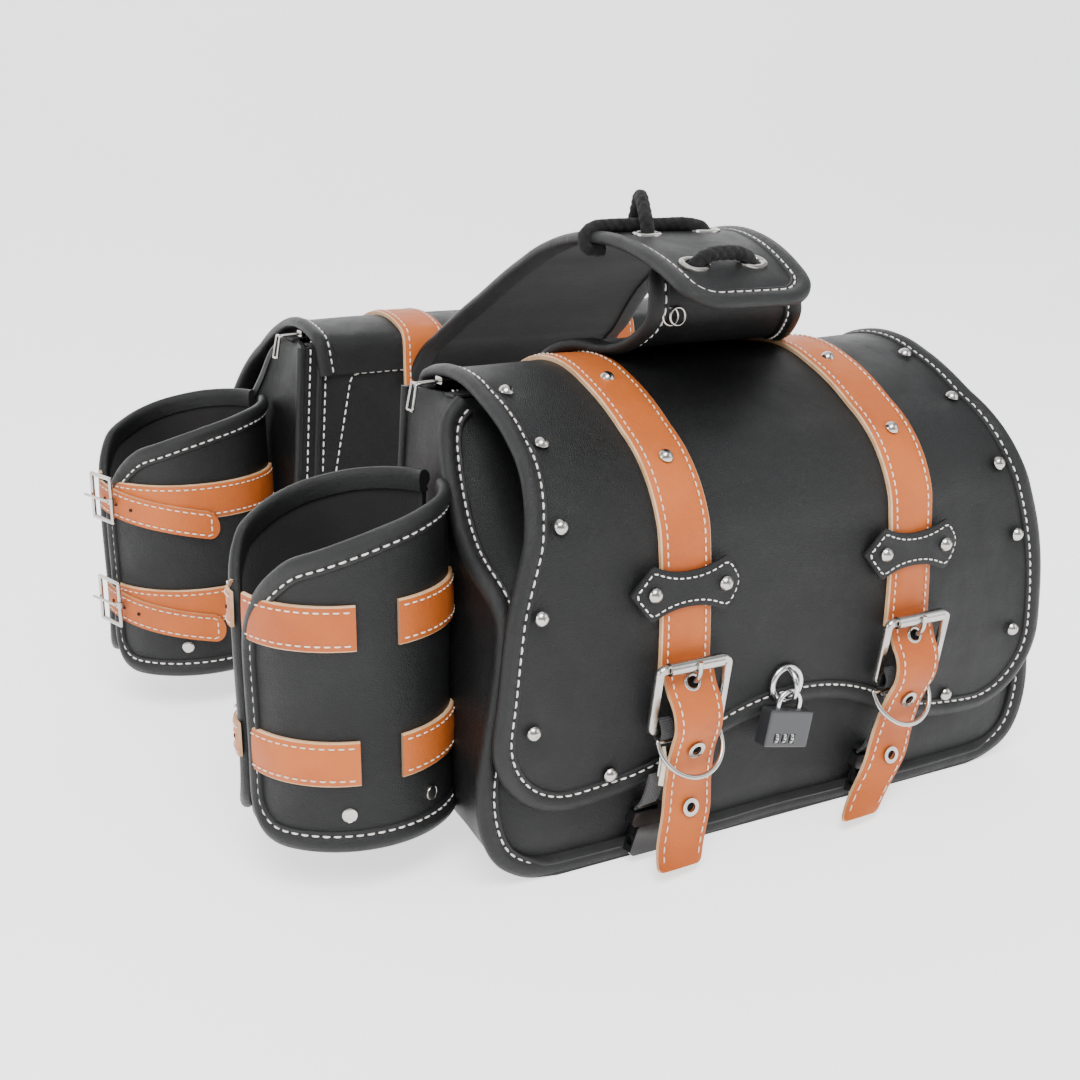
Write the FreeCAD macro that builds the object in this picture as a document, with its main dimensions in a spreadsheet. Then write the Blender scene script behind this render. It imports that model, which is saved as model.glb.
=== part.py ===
import FreeCAD, Part
import math
import os
import Sketcher
from FreeCAD import Placement, Rotation, Vector

# A pair of leather saddle bags for a bicycle, joined by a laced two-panel yoke.
#
# Frame: X runs along the bags, the bottle holders are at the -X end, the left bag is on the
# -Y side and the right bag mirrors it on the +Y side. Z = 0 is the surface they stand on.
#
# Places on a bag are given as (along, out, up): along X from the bag's middle, out from the
# bag's flat back towards its front, and up from the ground.

SIZES = {
    # bag and its place
    "bag_x": 57,
    "gap_half": 93,
    "bag_depth": 154,
    "bag_top": 265,
    "front_base": 165,
    "front_widest": 207,
    "front_middle": 195,
    "front_top": 205,
    "back_base": 150,
    "back_widest": 189,
    "back_middle": 187,
    "back_top": 177,
    "wall": 3,
    "board_length": 300,
    "board_tall": 200,
    "board_thick": 2,
    "patch_half": 142,
    "patch_low": 22,
    "patch_tall": 190,
    "patch_thick": 1,
    "piping_wide": 3,
    # zip along the mouth
    "tape_length": 332,
    "tape_wide": 12,
    "tape_thick": 1.2,
    "zip_mouth": 26,
    "slider_wide": 9,
    "slider_tall": 3.6,
    "slider_length": 12,
    "pull_length": 24,
    # flap
    "leather": 3,
    "binding": 3,
    # decorative straps
    "strap_x": 84,
    "strap_wide": 34,
    "strap_thick": 3,
    "tongue_wide": 33,
    "keeper_length": 75,
    "keeper_tall": 34,
    "keeper_thick": 2.5,
    "stud_radius": 4.5,
    "stud_tall": 3,
    "eyelet_radius": 5.5,
    "eyelet_hole": 3,
    # roller buckle
    "buckle_out": 178.5,
    "buckle_low": 84,
    "buckle_tall": 40,
    "buckle_half": 23,
    "bar_radius": 2,
    "roller_radius": 4,
    "roller_length": 36,
    "pin_play": 0.08,
    "prong_radius": 1.3,
    # D-ring under the buckle
    "ring_out": 173.5,
    "ring_up": 79,
    "ring_radius": 21.5,
    "ring_leg": 3,
    "ring_wire": 1.5,
    "ring_lean": 32,
    # side release clip behind each tongue
    "clip_shift": 22,
    "clip_wide": 24,
    "clip_out": 156,
    "clip_deep": 8,
    "socket_low": 5,
    "socket_tall": 18,
    "plug_tall": 14,
    "tine_wide": 4,
    # padlock
    "lock_x": -8,
    "lock_out": 171.5,
    "lock_up": 91,
    "lock_tilt": 12,
    "case_wide": 33,
    "case_tall": 23,
    "case_deep": 11,
    "shackle_radius": 8,
    "shackle_wire": 1.6,
    "case_drop": 11,
    "dial_radius": 4.2,
    "dial_wide": 3.6,
    "dial_pitch": 5.8,
    # bottle holder
    "holder_x": -251,
    "holder_out": 65,
    "holder_radius": 61,
    "holder_low": 30,
    "holder_tall": 190,
    "holder_split": 12,
    "band_wide": 26,
    "band_thick": 2.2,
    "upper_band": 160,
    "lower_band": 82,
    "frame_wide": 28,
    "frame_tall": 32,
    "frame_wire": 1.5,
    # yoke
    "yoke_thick": 3,
    "grommet_radius": 10,
    "grommet_hole": 4.5,
    "lace_radius": 3.6,
}

doc = FreeCAD.newDocument("SaddleBags")
sheet = doc.addObject("Spreadsheet::Sheet", "Sizes")
for row, (alias, value) in enumerate(SIZES.items(), start=1):
    sheet.set("A%d" % row, alias)
    sheet.set("B%d" % row, str(value))
    sheet.setAlias("B%d" % row, alias)
doc.recompute()

TALL = 400
SIDES = (-1, 1)
PANEL_FRONT = 158
COLLAPSE = ((154, 158), (148, 170), (126, 186), (103, 200), (86, 215), (74, 229), (64, 244), (57, 265))
FLAP = ((0, 271), (40, 279.5), (77.5, 271.5), (101, 261.3), (122, 249), (149, 228),
        (163.5, 200), (166.5, 150), (159, 44))
TONGUE = ((173.4, 134), (173.8, 121), (178.5, 108), (185.8, 96), (185.2, 83), (180, 70),
          (177.5, 58), (177.5, 30), (187, 3.5))
FLAP_LOW = ((0, 80.5), (75, 60), (105, 49.5), (145, 45), (187, 57), (203, 100))
FLAP_SIDE = ((195, 163), (180, 211), (170, 248), (168, 290))
FLAP_STUDS = ((151.6, 77.5, 270), (153.2, 122, 247.7), (161.7, 161.5, 211.5), (177, 166, 162.8),
              (181.4, 163, 96.9), (129.2, 158, 59.5))
STRAP_STUDS = ((79.6, 275), (143.9, 239))
TONGUE_HOLES = (74, 35.3)
NEAR_PANEL = ((-91.3, 222), (-86.5, 250), (-88, 270), (-98, 281), (-130, 286.5), (-160, 294),
              (-179, 306), (-183, 320), (-171, 335))
FAR_PANEL = ((88.4, 224), (84, 245), (62, 266), (-4, 305), (-61, 331), (-122, 350), (-163, 352),
             (-212, 342), (-252, 322))
LACE_HOLES = ((-58, 334, -218), (-18, 334, -218), (-52, 351, -163), (-10, 351, -163))
STUD_LIFT = 0.5
KEEPER_BACK = 166.7
KEEPER_UP = 167
KEEPER_STUD = 24.1
TONGUE_BENDS = {-1: ((30, 0.6),), 1: ((108, 0.2), (30, 1.1))}
RING_LEVEL = 70
LEFT_BUCKLE_TURN = -62
RIGHT_BUCKLE_TURN = 14
sub_parts = []


def cell(alias):
    """The number held in a cell of the sheet."""
    return float(sheet.get(alias))


def spot(along, out, up):
    """A place on the left bag, in the model's frame."""
    return Vector(cell("bag_x") + along, -(cell("gap_half") + out), up)


def keep(item, label):
    """Name an object and list it as a sub-part."""
    item.Label = label
    sub_parts.append(item)
    return item


def feature(name, shape):
    """An object whose shape is made with the Part functions."""
    item = doc.addObject("Part::Feature", name)
    item.Shape = shape
    return item


def bind_place(item, along, out, up, turn=None):
    """Tie an object's place on the left bag to the sheet."""
    if turn is not None:
        item.Placement = Placement(Vector(0, 0, 0), turn)
    item.setExpression("Placement.Base.x", "Sizes.bag_x + (%s)" % along)
    item.setExpression("Placement.Base.y", "-(Sizes.gap_half + (%s))" % out)
    item.setExpression("Placement.Base.z", "%s" % up)
    return item


def primitive(kind, name, sizes, along, out, up, turn=None):
    """A Part primitive whose sizes and place follow the sheet."""
    item = doc.addObject(kind, name)
    for size_name, formula in sizes.items():
        item.setExpression(size_name, formula)
    return bind_place(item, along, out, up, turn)


def rod(name, radius, length, along, out, up):
    """A round bar along X, centred on a place."""
    turn = Rotation(Vector(0, 1, 0), 90)
    sizes = {"Radius": radius, "Height": length}
    return primitive("Part::Cylinder", name, sizes, "(%s) - (%s) / 2" % (along, length), out, up, turn)


def combine(kind, name, items):
    """A boolean or compound of several objects."""
    item = doc.addObject(kind, name)
    if kind == "Part::Cut":
        item.Base = items[0]
        item.Tool = items[1]
    elif kind == "Part::Compound":
        item.Links = items
    else:
        item.Shapes = items
    return item


def plate(name, wide, tall, thick, along, out, up, corner=None):
    """A flat plate, drawn as a centred rectangle and padded away from the bag's back."""
    body = doc.addObject("PartDesign::Body", name)
    flat = [axis for axis in body.Origin.OriginFeatures if axis.Role == "XY_Plane"][0]
    sketch = body.newObject("Sketcher::SketchObject", name + "_outline")
    sketch.AttachmentSupport = (flat, [""])
    sketch.MapMode = "FlatFace"
    corners = (Vector(-5, -5, 0), Vector(5, -5, 0), Vector(5, 5, 0), Vector(-5, 5, 0))
    for index in range(4):
        sketch.addGeometry(Part.LineSegment(corners[index], corners[(index + 1) % 4]), False)
    for index in range(4):
        sketch.addConstraint(Sketcher.Constraint("Coincident", index, 2, (index + 1) % 4, 1))
    sketch.addConstraint(Sketcher.Constraint("Horizontal", 0))
    sketch.addConstraint(Sketcher.Constraint("Horizontal", 2))
    sketch.addConstraint(Sketcher.Constraint("Vertical", 1))
    sketch.addConstraint(Sketcher.Constraint("Symmetric", 0, 1, 1, 2, -1, 1))
    width_rule = sketch.addConstraint(Sketcher.Constraint("DistanceX", 0, 1, 0, 2, 10))
    height_rule = sketch.addConstraint(Sketcher.Constraint("DistanceY", 1, 1, 1, 2, 10))
    sketch.setExpression("Constraints[%d]" % width_rule, wide)
    sketch.setExpression("Constraints[%d]" % height_rule, tall)
    pad = body.newObject("PartDesign::Pad", name + "_pad")
    pad.Profile = sketch
    pad.setExpression("Length", thick)
    doc.recompute()
    if corner is not None:
        fillet = body.newObject("PartDesign::Fillet", name + "_corners")
        upright = [
            "Edge%d" % (number + 1)
            for number, edge in enumerate(pad.Shape.Edges)
            if abs(edge.tangentAt(edge.FirstParameter).z) > 0.99
        ]
        fillet.Base = (pad, upright)
        fillet.setExpression("Radius", corner)
        body.Tip = fillet
    return bind_place(body, along, out, up, Rotation(Vector(1, 0, 0), 90))


def chain(points):
    """Arcs through every three points of an odd-length list."""
    edges = []
    for start in range(0, len(points) - 2, 2):
        edges.append(Part.Arc(*points[start:start + 3]).toShape())
    return edges


def moved_out(points, amount):
    """Points of a side profile moved square to it by an amount."""
    moved = []
    last = len(points) - 1
    for index, (out, up) in enumerate(points):
        before = points[max(index - 1, 0)]
        after = points[min(index + 1, last)]
        run = math.hypot(after[0] - before[0], after[1] - before[1])
        moved.append((out - amount * (after[1] - before[1]) / run, up + amount * (after[0] - before[0]) / run))
    return moved


def sheet_between(profile, inner, outer, low, high, place):
    """A curved sheet that follows a side profile, between two offsets of it."""
    near = [place(low, out, up) for out, up in moved_out(profile, inner)]
    far = [place(low, out, up) for out, up in moved_out(profile, outer)]
    edges = chain(near) + [Part.LineSegment(near[-1], far[-1]).toShape()]
    edges += chain(far) + [Part.LineSegment(near[0], far[0]).toShape()]
    wire = Part.Wire(Part.__sortEdges__(edges))
    return Part.Face(wire).extrude(Vector(high - low, 0, 0))


def nearest(points, target):
    """Where arcs through a list of points come nearest to a place, and which way they run."""
    best = None
    for edge in chain(points):
        at = edge.Curve.parameter(target)
        at = min(max(at, edge.FirstParameter), edge.LastParameter)
        here = edge.valueAt(at)
        gap = (here - target).Length
        if best is None or gap < best[0]:
            best = (gap, here, edge.tangentAt(at))
    return best[1], best[2]


def profile_spot(profile, amount, out, up):
    """The place on an offset side profile nearest to a point, and the way it faces there."""
    points = [Vector(0, across, height) for across, height in moved_out(profile, amount)]
    here, along = nearest(points, Vector(0, out, up))
    if along.z > 0:
        along = along * -1
    return here.y, here.z, Vector(0, along.z, along.y)


def cap(along, profile, amount, out, up):
    """A domed stud standing square on a side profile."""
    out, height, normal = profile_spot(profile, amount, out, up)
    foot = cell("stud_radius")
    tall = cell("stud_tall")
    ball = (foot * foot + tall * tall) / (2 * tall)
    rise = math.degrees(math.asin((ball - tall) / ball))
    centre = spot(along, out, height) - normal * (ball - tall)
    return Part.makeSphere(ball, centre, normal, rise, 90, 360)


def bag_outline(out, base, widest, middle, top, inset, low):
    """The bag's outline at one depth: a flat bottom, round corners, sides that lean in."""
    right = [(base - inset, low), (widest - inset - 12, 12 + low * 0.6), (widest - inset, 50)]
    side = [(widest - inset, 50), (middle - inset + 5, 130), (middle - inset, 165)]
    end = (top - inset, TALL * 0.75)
    edges = chain([spot(x, out, z) for x, z in right])
    edges += chain([spot(x, out, z) for x, z in side])
    edges.append(Part.LineSegment(spot(side[2][0], out, side[2][1]), spot(end[0], out, end[1])).toShape())
    edges.append(Part.LineSegment(spot(end[0], out, end[1]), spot(-end[0], out, end[1])).toShape())
    edges.append(Part.LineSegment(spot(-end[0], out, end[1]), spot(-side[2][0], out, side[2][1])).toShape())
    edges += chain([spot(-x, out, z) for x, z in reversed(side)])
    edges += chain([spot(-x, out, z) for x, z in reversed(right)])
    edges.append(Part.LineSegment(spot(-right[0][0], out, low), spot(right[0][0], out, low)).toShape())
    return Part.Wire(edges)


def front_outline(out, inset, low):
    """The outline at the front panel's seam."""
    names = ("front_base", "front_widest", "front_middle", "front_top")
    return bag_outline(out, *[cell(name) for name in names], inset, low)


def bag_block(inset, low, top):
    """The space of the bag, shrunk by an inset, with its front fallen in under the flap."""
    back = ("back_base", "back_widest", "back_middle", "back_top")
    rear = bag_outline(inset, *[cell(name) for name in back], inset, low - 1)
    front = front_outline(cell("bag_depth") - inset, inset, low - 1)
    block = Part.makeLoft([rear, front], True, True)
    edge_in = [(out - inset, up) for out, up in COLLAPSE]
    outline = [(0, low), (cell("bag_depth") - inset, low)] + edge_in + [(edge_in[-1][0], top), (0, top)]
    corners = [spot(-TALL, out, up) for out, up in outline]
    side = Part.Face(Part.makePolygon(corners + corners[:1]))
    return block.common(side.extrude(Vector(2 * TALL, 0, 0)))


def body_shell():
    """The soft box of the bag, open at its zipped mouth, with a sewn patch on its back."""
    whole = bag_block(0, 0, cell("bag_top"))
    hollow = bag_block(cell("wall"), cell("wall"), cell("bag_top") + 5)
    half, thick = cell("patch_half"), cell("patch_thick")
    corner = spot(-half, 0, cell("patch_low"))
    patch = Part.makeBox(2 * half, thick, cell("patch_tall"), corner)
    return whole.cut(hollow).fuse(patch)


def body_piping():
    """Rolled piping round the front panel's seam, and round the bottle holder's rim."""
    depth = cell("bag_depth")
    inner = Part.Face(front_outline(depth - 4, 0, 0.05))
    outer = inner.makeOffset2D(cell("piping_wide"))
    ring = outer.cut(inner).extrude(Vector(0, -4, 0))
    above = Part.makeBox(2 * TALL, TALL, TALL, spot(-TALL, TALL / 2, PANEL_FRONT - 4))
    below = Part.makeBox(2 * TALL, TALL, 10, spot(-TALL, TALL / 2, -9.9))
    ring = ring.cut(bag_block(0, 0, TALL)).cut(above).cut(below)
    radius = cell("holder_radius")
    rim = Part.makeCylinder(radius + 0.5, 3, holder_foot(0))
    rim = rim.cut(Part.makeCylinder(radius - 4, 3, holder_foot(0)))
    rim = rim.cut(bag_block(-0.3, -5, TALL))
    return Part.makeCompound(ring.Solids + rim.Solids)


def holder_foot(up):
    """The bottle holder's axis, at a height above its bottom."""
    return spot(cell("holder_x"), cell("holder_out"), cell("holder_low") + up)


def holder_wrap():
    """The leather tube of the bottle holder, split at its end and cut low there."""
    radius = cell("holder_radius")
    tube = Part.makeCylinder(radius, cell("holder_tall") - 3, holder_foot(3))
    tube = tube.cut(Part.makeCylinder(radius - cell("wall"), cell("holder_tall"), holder_foot(3)))
    split = cell("holder_split")
    slot_low = holder_foot(0) + Vector(-radius - 5, -split / 2, 0)
    tube = tube.cut(Part.makeBox(radius, split, TALL, slot_low))
    rim = [(-radius - 5, 146), (-45, 166), (0, 182), (radius + 5, 192)]
    corners = [holder_foot(up) + Vector(x, -radius - 5, 0) for x, up in rim]
    corners += [holder_foot(240) + Vector(x, -radius - 5, 0) for x in (radius + 5, -radius - 5)]
    wedge = Part.Face(Part.makePolygon(corners + corners[:1])).extrude(Vector(0, 3 * radius, 0))
    return tube.cut(wedge).cut(bag_block(-0.3, -5, TALL))


def holder_base():
    """The round bottom sewn into the bottle holder."""
    floor = Part.makeCylinder(cell("holder_radius") - cell("wall") - 0.1, 3, holder_foot(3))
    return floor.cut(bag_block(-0.3, -5, TALL))


def band_arc(inner, height, start, end):
    """Part of a strap round the bottle holder, between two bearings from +X."""
    thick = cell("band_thick")
    wide = cell("band_wide")
    foot = holder_foot(height - cell("holder_low") - wide / 2)
    ring = Part.makeCylinder(inner + thick, wide, foot, Vector(0, 0, 1), end - start)
    ring = ring.cut(Part.makeCylinder(inner, wide, foot))
    ring.rotate(foot, Vector(0, 0, 1), start)
    return ring.cut(bag_block(-0.3, -5, TALL))


def holder_straps():
    """Two straps round the bottle holder, each with a loose tongue past its buckle."""
    bands = []
    inner = cell("holder_radius") + 0.1
    tongue = inner + cell("band_thick") + 0.3
    for height in (cell("upper_band"), cell("lower_band")):
        bands += band_arc(inner, height, 20, 340).Solids
        bands += band_arc(tongue, height, 60, 178).Solids
    return Part.makeCompound(bands)


def holder_frame_x():
    """How far out from the holder's axis the thin buckle frames stand."""
    return cell("holder_radius") + 3 * cell("band_thick") + 1


def wire_frame(centre, wide, tall, wire):
    """A thin upright rectangular frame of round wire, facing -X."""
    parts = []
    for side in SIDES:
        parts.append(Part.makeCylinder(wire, tall, centre + Vector(0, side * wide / 2, -tall / 2)))
        foot = centre + Vector(0, -wide / 2, side * tall / 2)
        parts.append(Part.makeCylinder(wire, wide, foot, Vector(0, 1, 0)))
        for end in SIDES:
            parts.append(Part.makeSphere(wire, centre + Vector(0, side * wide / 2, end * tall / 2)))
    return parts[0].fuse(parts[1:]).removeSplitter()


def holder_buckle_centres():
    """Middles of the two thin buckles at the end of the bottle holder."""
    return [
        holder_foot(height - cell("holder_low")) + Vector(-holder_frame_x(), 0, 0)
        for height in (cell("upper_band"), cell("lower_band"))
    ]


def holder_buckles():
    """The thin wire buckles of the bottle holder's straps."""
    sizes = (cell("frame_wide"), cell("frame_tall"), cell("frame_wire"))
    return Part.makeCompound([wire_frame(centre, *sizes) for centre in holder_buckle_centres()])


def holder_prongs():
    """The prongs of the thin buckles, each wrapped round the frame's upright bar."""
    prongs = []
    wire = cell("frame_wire")
    for centre in holder_buckle_centres():
        pivot = centre + Vector(0, cell("frame_wide") / 2, 0)
        sleeve = Part.makeCylinder(wire + 1.3, 4, pivot + Vector(0, 0, -2))
        arm_end = centre + Vector(-2 * wire - 0.9, -cell("frame_wide") / 2 - 5, 0)
        reach = arm_end - (pivot + Vector(-wire - 0.9, 0, 0))
        arm = Part.makeCylinder(1, reach.Length, pivot + Vector(-wire - 0.9, 0, 0), reach)
        bore = Part.makeCylinder(wire + cell("pin_play"), 12, pivot + Vector(0, 0, -6))
        prongs.append(sleeve.fuse(arm).cut(bore))
    return Part.makeCompound(prongs)


def flap_face(grow):
    """The flap's outline seen from the front, with a scalloped bottom edge."""
    low = [spot(x, 0, z) for x, z in FLAP_LOW]
    mirrored = [spot(-x, 0, z) for x, z in FLAP_LOW]
    centre = Part.Arc(mirrored[1], low[0], low[1]).toShape()
    edges = [centre]
    for points, side in ((low, 1), (mirrored, -1)):
        edges.append(Part.Arc(points[1], points[2], points[3]).toShape())
        edges.append(Part.Arc(points[3], points[4], points[5]).toShape())
        last = points[5]
        for x, z in FLAP_SIDE:
            edges.append(Part.LineSegment(last, spot(side * x, 0, z)).toShape())
            last = spot(side * x, 0, z)
    top = FLAP_SIDE[-1]
    edges.append(Part.LineSegment(spot(-top[0], 0, top[1]), spot(top[0], 0, top[1])).toShape())
    face = Part.Face(Part.Wire(Part.__sortEdges__(edges)))
    return face.makeOffset2D(grow) if grow else face


def flap():
    """The flap: one sheet from the bag's top back edge over the front."""
    curved = sheet_between(FLAP, -cell("leather"), 0, -230, 230, spot)
    return curved.common(flap_face(0).extrude(Vector(0, -2 * TALL, 0)))


def flap_piping():
    """The rolled binding along the flap's edge."""
    curved = sheet_between(FLAP, -cell("leather") - 1, 1, -230, 230, spot)
    edge = flap_face(cell("binding")).cut(flap_face(0))
    return curved.common(edge.extrude(Vector(0, -2 * TALL, 0)))


def flap_straps():
    """Two long straps over the flap, from the hinge to behind the buckles' rollers."""
    half = cell("strap_wide") / 2
    thick = cell("strap_thick")
    below = Part.makeBox(2 * TALL, TALL, TALL, spot(-TALL, TALL / 2 + 20, 118 - TALL))
    straps = []
    for side in SIDES:
        middle = side * cell("strap_x")
        strap = sheet_between(FLAP, 0.1, thick, middle - half, middle + half, spot)
        straps.append(strap.cut(below))
    return Part.makeCompound(straps)


def strap_keepers():
    """Waisted leather keepers across the straps, on small end blocks."""
    keepers = []
    half = cell("keeper_length") / 2
    tall = cell("keeper_tall") / 2
    back = KEEPER_BACK
    under = cell("strap_thick") + 0.6
    for side in SIDES:
        middle = side * cell("strap_x")
        rim = [(-half, 0), (-half + 12, tall), (0, tall * 0.6), (half - 12, tall), (half, 0)]
        top = [spot(middle + x, back, KEEPER_UP + z) for x, z in rim]
        low = [spot(middle + x, back, KEEPER_UP - z) for x, z in rim]
        edges = [Part.Arc(top[1], top[2], top[3]).toShape(), Part.Arc(low[1], low[2], low[3]).toShape()]
        for line in (top[:2], top[3:], low[:2], low[3:]):
            edges.append(Part.LineSegment(line[0], line[1]).toShape())
        wire = Part.Wire(Part.__sortEdges__(edges))
        solid = Part.Face(wire).extrude(Vector(0, -under - cell("keeper_thick"), 0))
        channel = cell("strap_wide") + 1
        slot = Part.makeBox(channel, under + 2, TALL, spot(middle - channel / 2, back + under, 0))
        keepers.append(solid.cut(slot))
    return Part.makeCompound(keepers)


def drift(side, up):
    """How far a tongue has drifted along the bag at a height."""
    return -sum(lean * max(level - up, 0) for level, lean in TONGUE_BENDS[side])


def eyelet(along, up):
    """A flat eyelet ring on the face of a tongue."""
    out, height, normal = profile_spot(TONGUE, STUD_LIFT, cell("buckle_out"), up)
    centre = spot(along, out, height)
    ring = Part.makeCylinder(cell("eyelet_radius"), 0.9, centre, normal)
    return ring.cut(Part.makeCylinder(cell("eyelet_hole"), 0.9, centre, normal))


def studs():
    """Domed studs on the flap, straps and keepers, and the tongues' eyelets."""
    solids = []
    strap = cell("strap_thick")
    keeper = KEEPER_BACK + strap + 0.6 + cell("keeper_thick")
    for side in SIDES:
        middle = side * cell("strap_x")
        for along, out, up in FLAP_STUDS:
            solids.append(cap(side * along, FLAP, STUD_LIFT, out, up))
        for out, up in STRAP_STUDS:
            solids.append(cap(middle, FLAP, strap + STUD_LIFT, out, up))
        for shift in (-KEEPER_STUD, KEEPER_STUD):
            flat = [(keeper, KEEPER_UP + 80), (keeper + 0.01, KEEPER_UP), (keeper, KEEPER_UP - 80)]
            solids.append(cap(middle + shift, flat, 0.1, keeper, KEEPER_UP))
        for up in TONGUE_HOLES:
            solids.append(eyelet(middle + drift(side, up), up))
    return Part.makeCompound(solids)


def lean_sideways(solid, level, lean):
    """A solid sheared along X below a level, as a strap drifts to one side."""
    shear = FreeCAD.Matrix()
    shear.A13 = lean
    shear.A14 = -lean * level
    return solid.transformGeometry(shear)


def tongue_straps():
    """The straps' tongues: under the roller, over the lower bar and down to the ground."""
    half = cell("tongue_wide") / 2
    tongues = []
    for side in SIDES:
        middle = side * cell("strap_x")
        tongue = sheet_between(TONGUE, -cell("strap_thick"), 0, middle - half, middle + half, spot)
        for level, lean in TONGUE_BENDS[side]:
            above = Part.makeBox(2 * TALL, TALL, TALL, spot(-TALL, TALL * 0.75, level))
            below = lean_sideways(tongue.cut(above), level, lean)
            tongue = tongue.common(above).fuse(below)
        tongue = tongue.cut(Part.makeBox(5, 30, 31, spot(middle - 2.5, 195, 86)))
        for up in TONGUE_HOLES:
            hole = spot(middle + drift(side, up), 165, up)
            tongue = tongue.cut(Part.makeCylinder(cell("eyelet_hole"), 40, hole, Vector(0, -1, 0)))
        tongues.append(tongue)
    return Part.makeCompound(tongues)


def lock_spot(x, out, up):
    """A place on the padlock, from where its shackle hangs in the staple."""
    tilt = math.radians(cell("lock_tilt"))
    along = x * math.cos(tilt) + up * math.sin(tilt)
    height = up * math.cos(tilt) - x * math.sin(tilt)
    return spot(cell("lock_x") + along, cell("lock_out") + out, cell("lock_up") + height)


def lean_lock(solid):
    """Lean a padlock piece that was made upright about the staple."""
    solid.rotate(lock_spot(0, 0, 0), Vector(0, 1, 0), cell("lock_tilt"))
    return solid


def upright(x, out, up):
    """A place on the padlock before it leans."""
    return spot(cell("lock_x") + x, cell("lock_out") + out, cell("lock_up") + up)


def lock_hasp():
    """A round rosette on the flap with a staple for the padlock."""
    rosette = Part.makeTorus(10.5, 2, spot(cell("lock_x"), 166, 94), Vector(0, 1, 0))
    staple = Part.makeTorus(10, 1.6, spot(cell("lock_x"), 166, 94), Vector(1, 0, 0))
    behind = Part.makeBox(60, 40, 60, spot(cell("lock_x") - 30, 165, 64))
    return staple.cut(behind).fuse(rosette).cut(flap())


def lock_shackle():
    """The padlock's shackle: a half ring with one long and one short leg."""
    ring = cell("shackle_radius")
    wire = cell("shackle_wire")
    arch = Part.makeTorus(ring, wire, upright(0, 0, -ring), Vector(0, 1, 0))
    arch = arch.cut(Part.makeBox(40, 20, 20, upright(-20, 10, -ring - 20)))
    long_leg = Part.makeCylinder(wire, 14, upright(-ring, 0, -ring - 14))
    short_leg = Part.makeCylinder(wire, 11, upright(ring, 0, -ring - 11))
    return lean_lock(arch.fuse([long_leg, short_leg]))


def dial_places():
    """The three dials' middles, left to right, and the line they turn on."""
    return [(index * cell("dial_pitch") - 8.5, 2, -cell("case_drop") - 17.2) for index in range(3)]


def lock_case():
    """The padlock's case, with bores for the shackle and pockets for the dials."""
    wide, tall, deep = cell("case_wide"), cell("case_tall"), cell("case_deep")
    ring = cell("shackle_radius")
    drop = cell("case_drop")
    case = Part.makeBox(wide, deep, tall, upright(-wide / 2, deep / 2, -drop - tall))
    case = case.makeFillet(1.5, [edge for edge in case.Edges])
    for side, depth in ((-1, 12.5), (1, 9.5)):
        foot = upright(side * ring, 0, -drop - depth)
        case = case.cut(Part.makeCylinder(cell("shackle_wire") + 0.1, depth + 5, foot))
    play = 0.4
    for x, out, up in dial_places():
        foot = upright(x - cell("dial_wide") / 2 - play, out, up)
        pocket = Part.makeCylinder(cell("dial_radius") + play, cell("dial_wide") + 2 * play, foot, Vector(1, 0, 0))
        case = case.cut(pocket)
    first = dial_places()[0]
    axle = Part.makeCylinder(1, 20, upright(first[0] - 4, first[1], first[2]), Vector(1, 0, 0))
    return lean_lock(case.fuse(axle))


def lock_dial(index):
    """One numbered dial of the padlock."""
    x, out, up = dial_places()[index]
    foot = upright(x - cell("dial_wide") / 2, out, up)
    disc = Part.makeCylinder(cell("dial_radius"), cell("dial_wide"), foot, Vector(1, 0, 0))
    bore = Part.makeCylinder(1 + cell("pin_play"), cell("dial_wide"), foot, Vector(1, 0, 0))
    return lean_lock(disc.cut(bore))


def d_rings():
    """Half-round rings that hold the tongues down, each on a straight bar."""
    rings = []
    wire = cell("ring_wire")
    radius = cell("ring_radius")
    for side in SIDES:
        along = side * cell("strap_x") + drift(side, RING_LEVEL)
        centre = spot(along, cell("ring_out"), cell("ring_up"))
        leg = cell("ring_leg")
        arch = Part.makeTorus(radius, wire, centre - Vector(0, 0, leg), Vector(0, 1, 0))
        arch = arch.cut(Part.makeBox(80, 40, 40, centre + Vector(-40, -20, -leg)))
        pieces = [Part.makeCylinder(wire, 2 * radius, centre + Vector(-radius, 0, 0), Vector(1, 0, 0))]
        for end in SIDES:
            corner = centre + Vector(end * radius, 0, 0)
            pieces.append(Part.makeSphere(wire, corner))
            pieces.append(Part.makeCylinder(wire, leg, corner, Vector(0, 0, -1)))
        ring = arch
        for piece in pieces:
            ring = ring.fuse(piece)
        ring.rotate(centre, Vector(1, 0, 0), -cell("ring_lean"))
        rings.append(ring)
    return Part.makeCompound(rings)


def buckle_frames():
    """The roller buckles' frames: two bars, two sides and round corners."""
    frames = []
    for number, side in enumerate(SIDES):
        middle = "%d * Sizes.strap_x" % side
        pieces = []
        for end, up in enumerate(("Sizes.buckle_low", "Sizes.buckle_low + Sizes.buckle_tall")):
            name = "BuckleBar%d%d" % (number, end)
            pieces.append(rod(name, "Sizes.bar_radius", "2 * Sizes.buckle_half", middle, "Sizes.buckle_out", up))
        for end in SIDES:
            along = "%s + %d * Sizes.buckle_half" % (middle, end)
            name = "BuckleSide%d%d" % (number, end + 1)
            sizes = {"Radius": "Sizes.bar_radius", "Height": "Sizes.buckle_tall"}
            pieces.append(primitive("Part::Cylinder", name, sizes, along, "Sizes.buckle_out", "Sizes.buckle_low"))
            for level, up in enumerate(("Sizes.buckle_low", "Sizes.buckle_low + Sizes.buckle_tall")):
                name = "BuckleCorner%d%d%d" % (number, end + 1, level)
                sizes = {"Radius": "Sizes.bar_radius"}
                pieces.append(primitive("Part::Sphere", name, sizes, along, "Sizes.buckle_out", up))
        frames.append(combine("Part::MultiFuse", "BuckleFrame%d" % number, pieces))
    return combine("Part::Compound", "BuckleFrames", frames)


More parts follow.
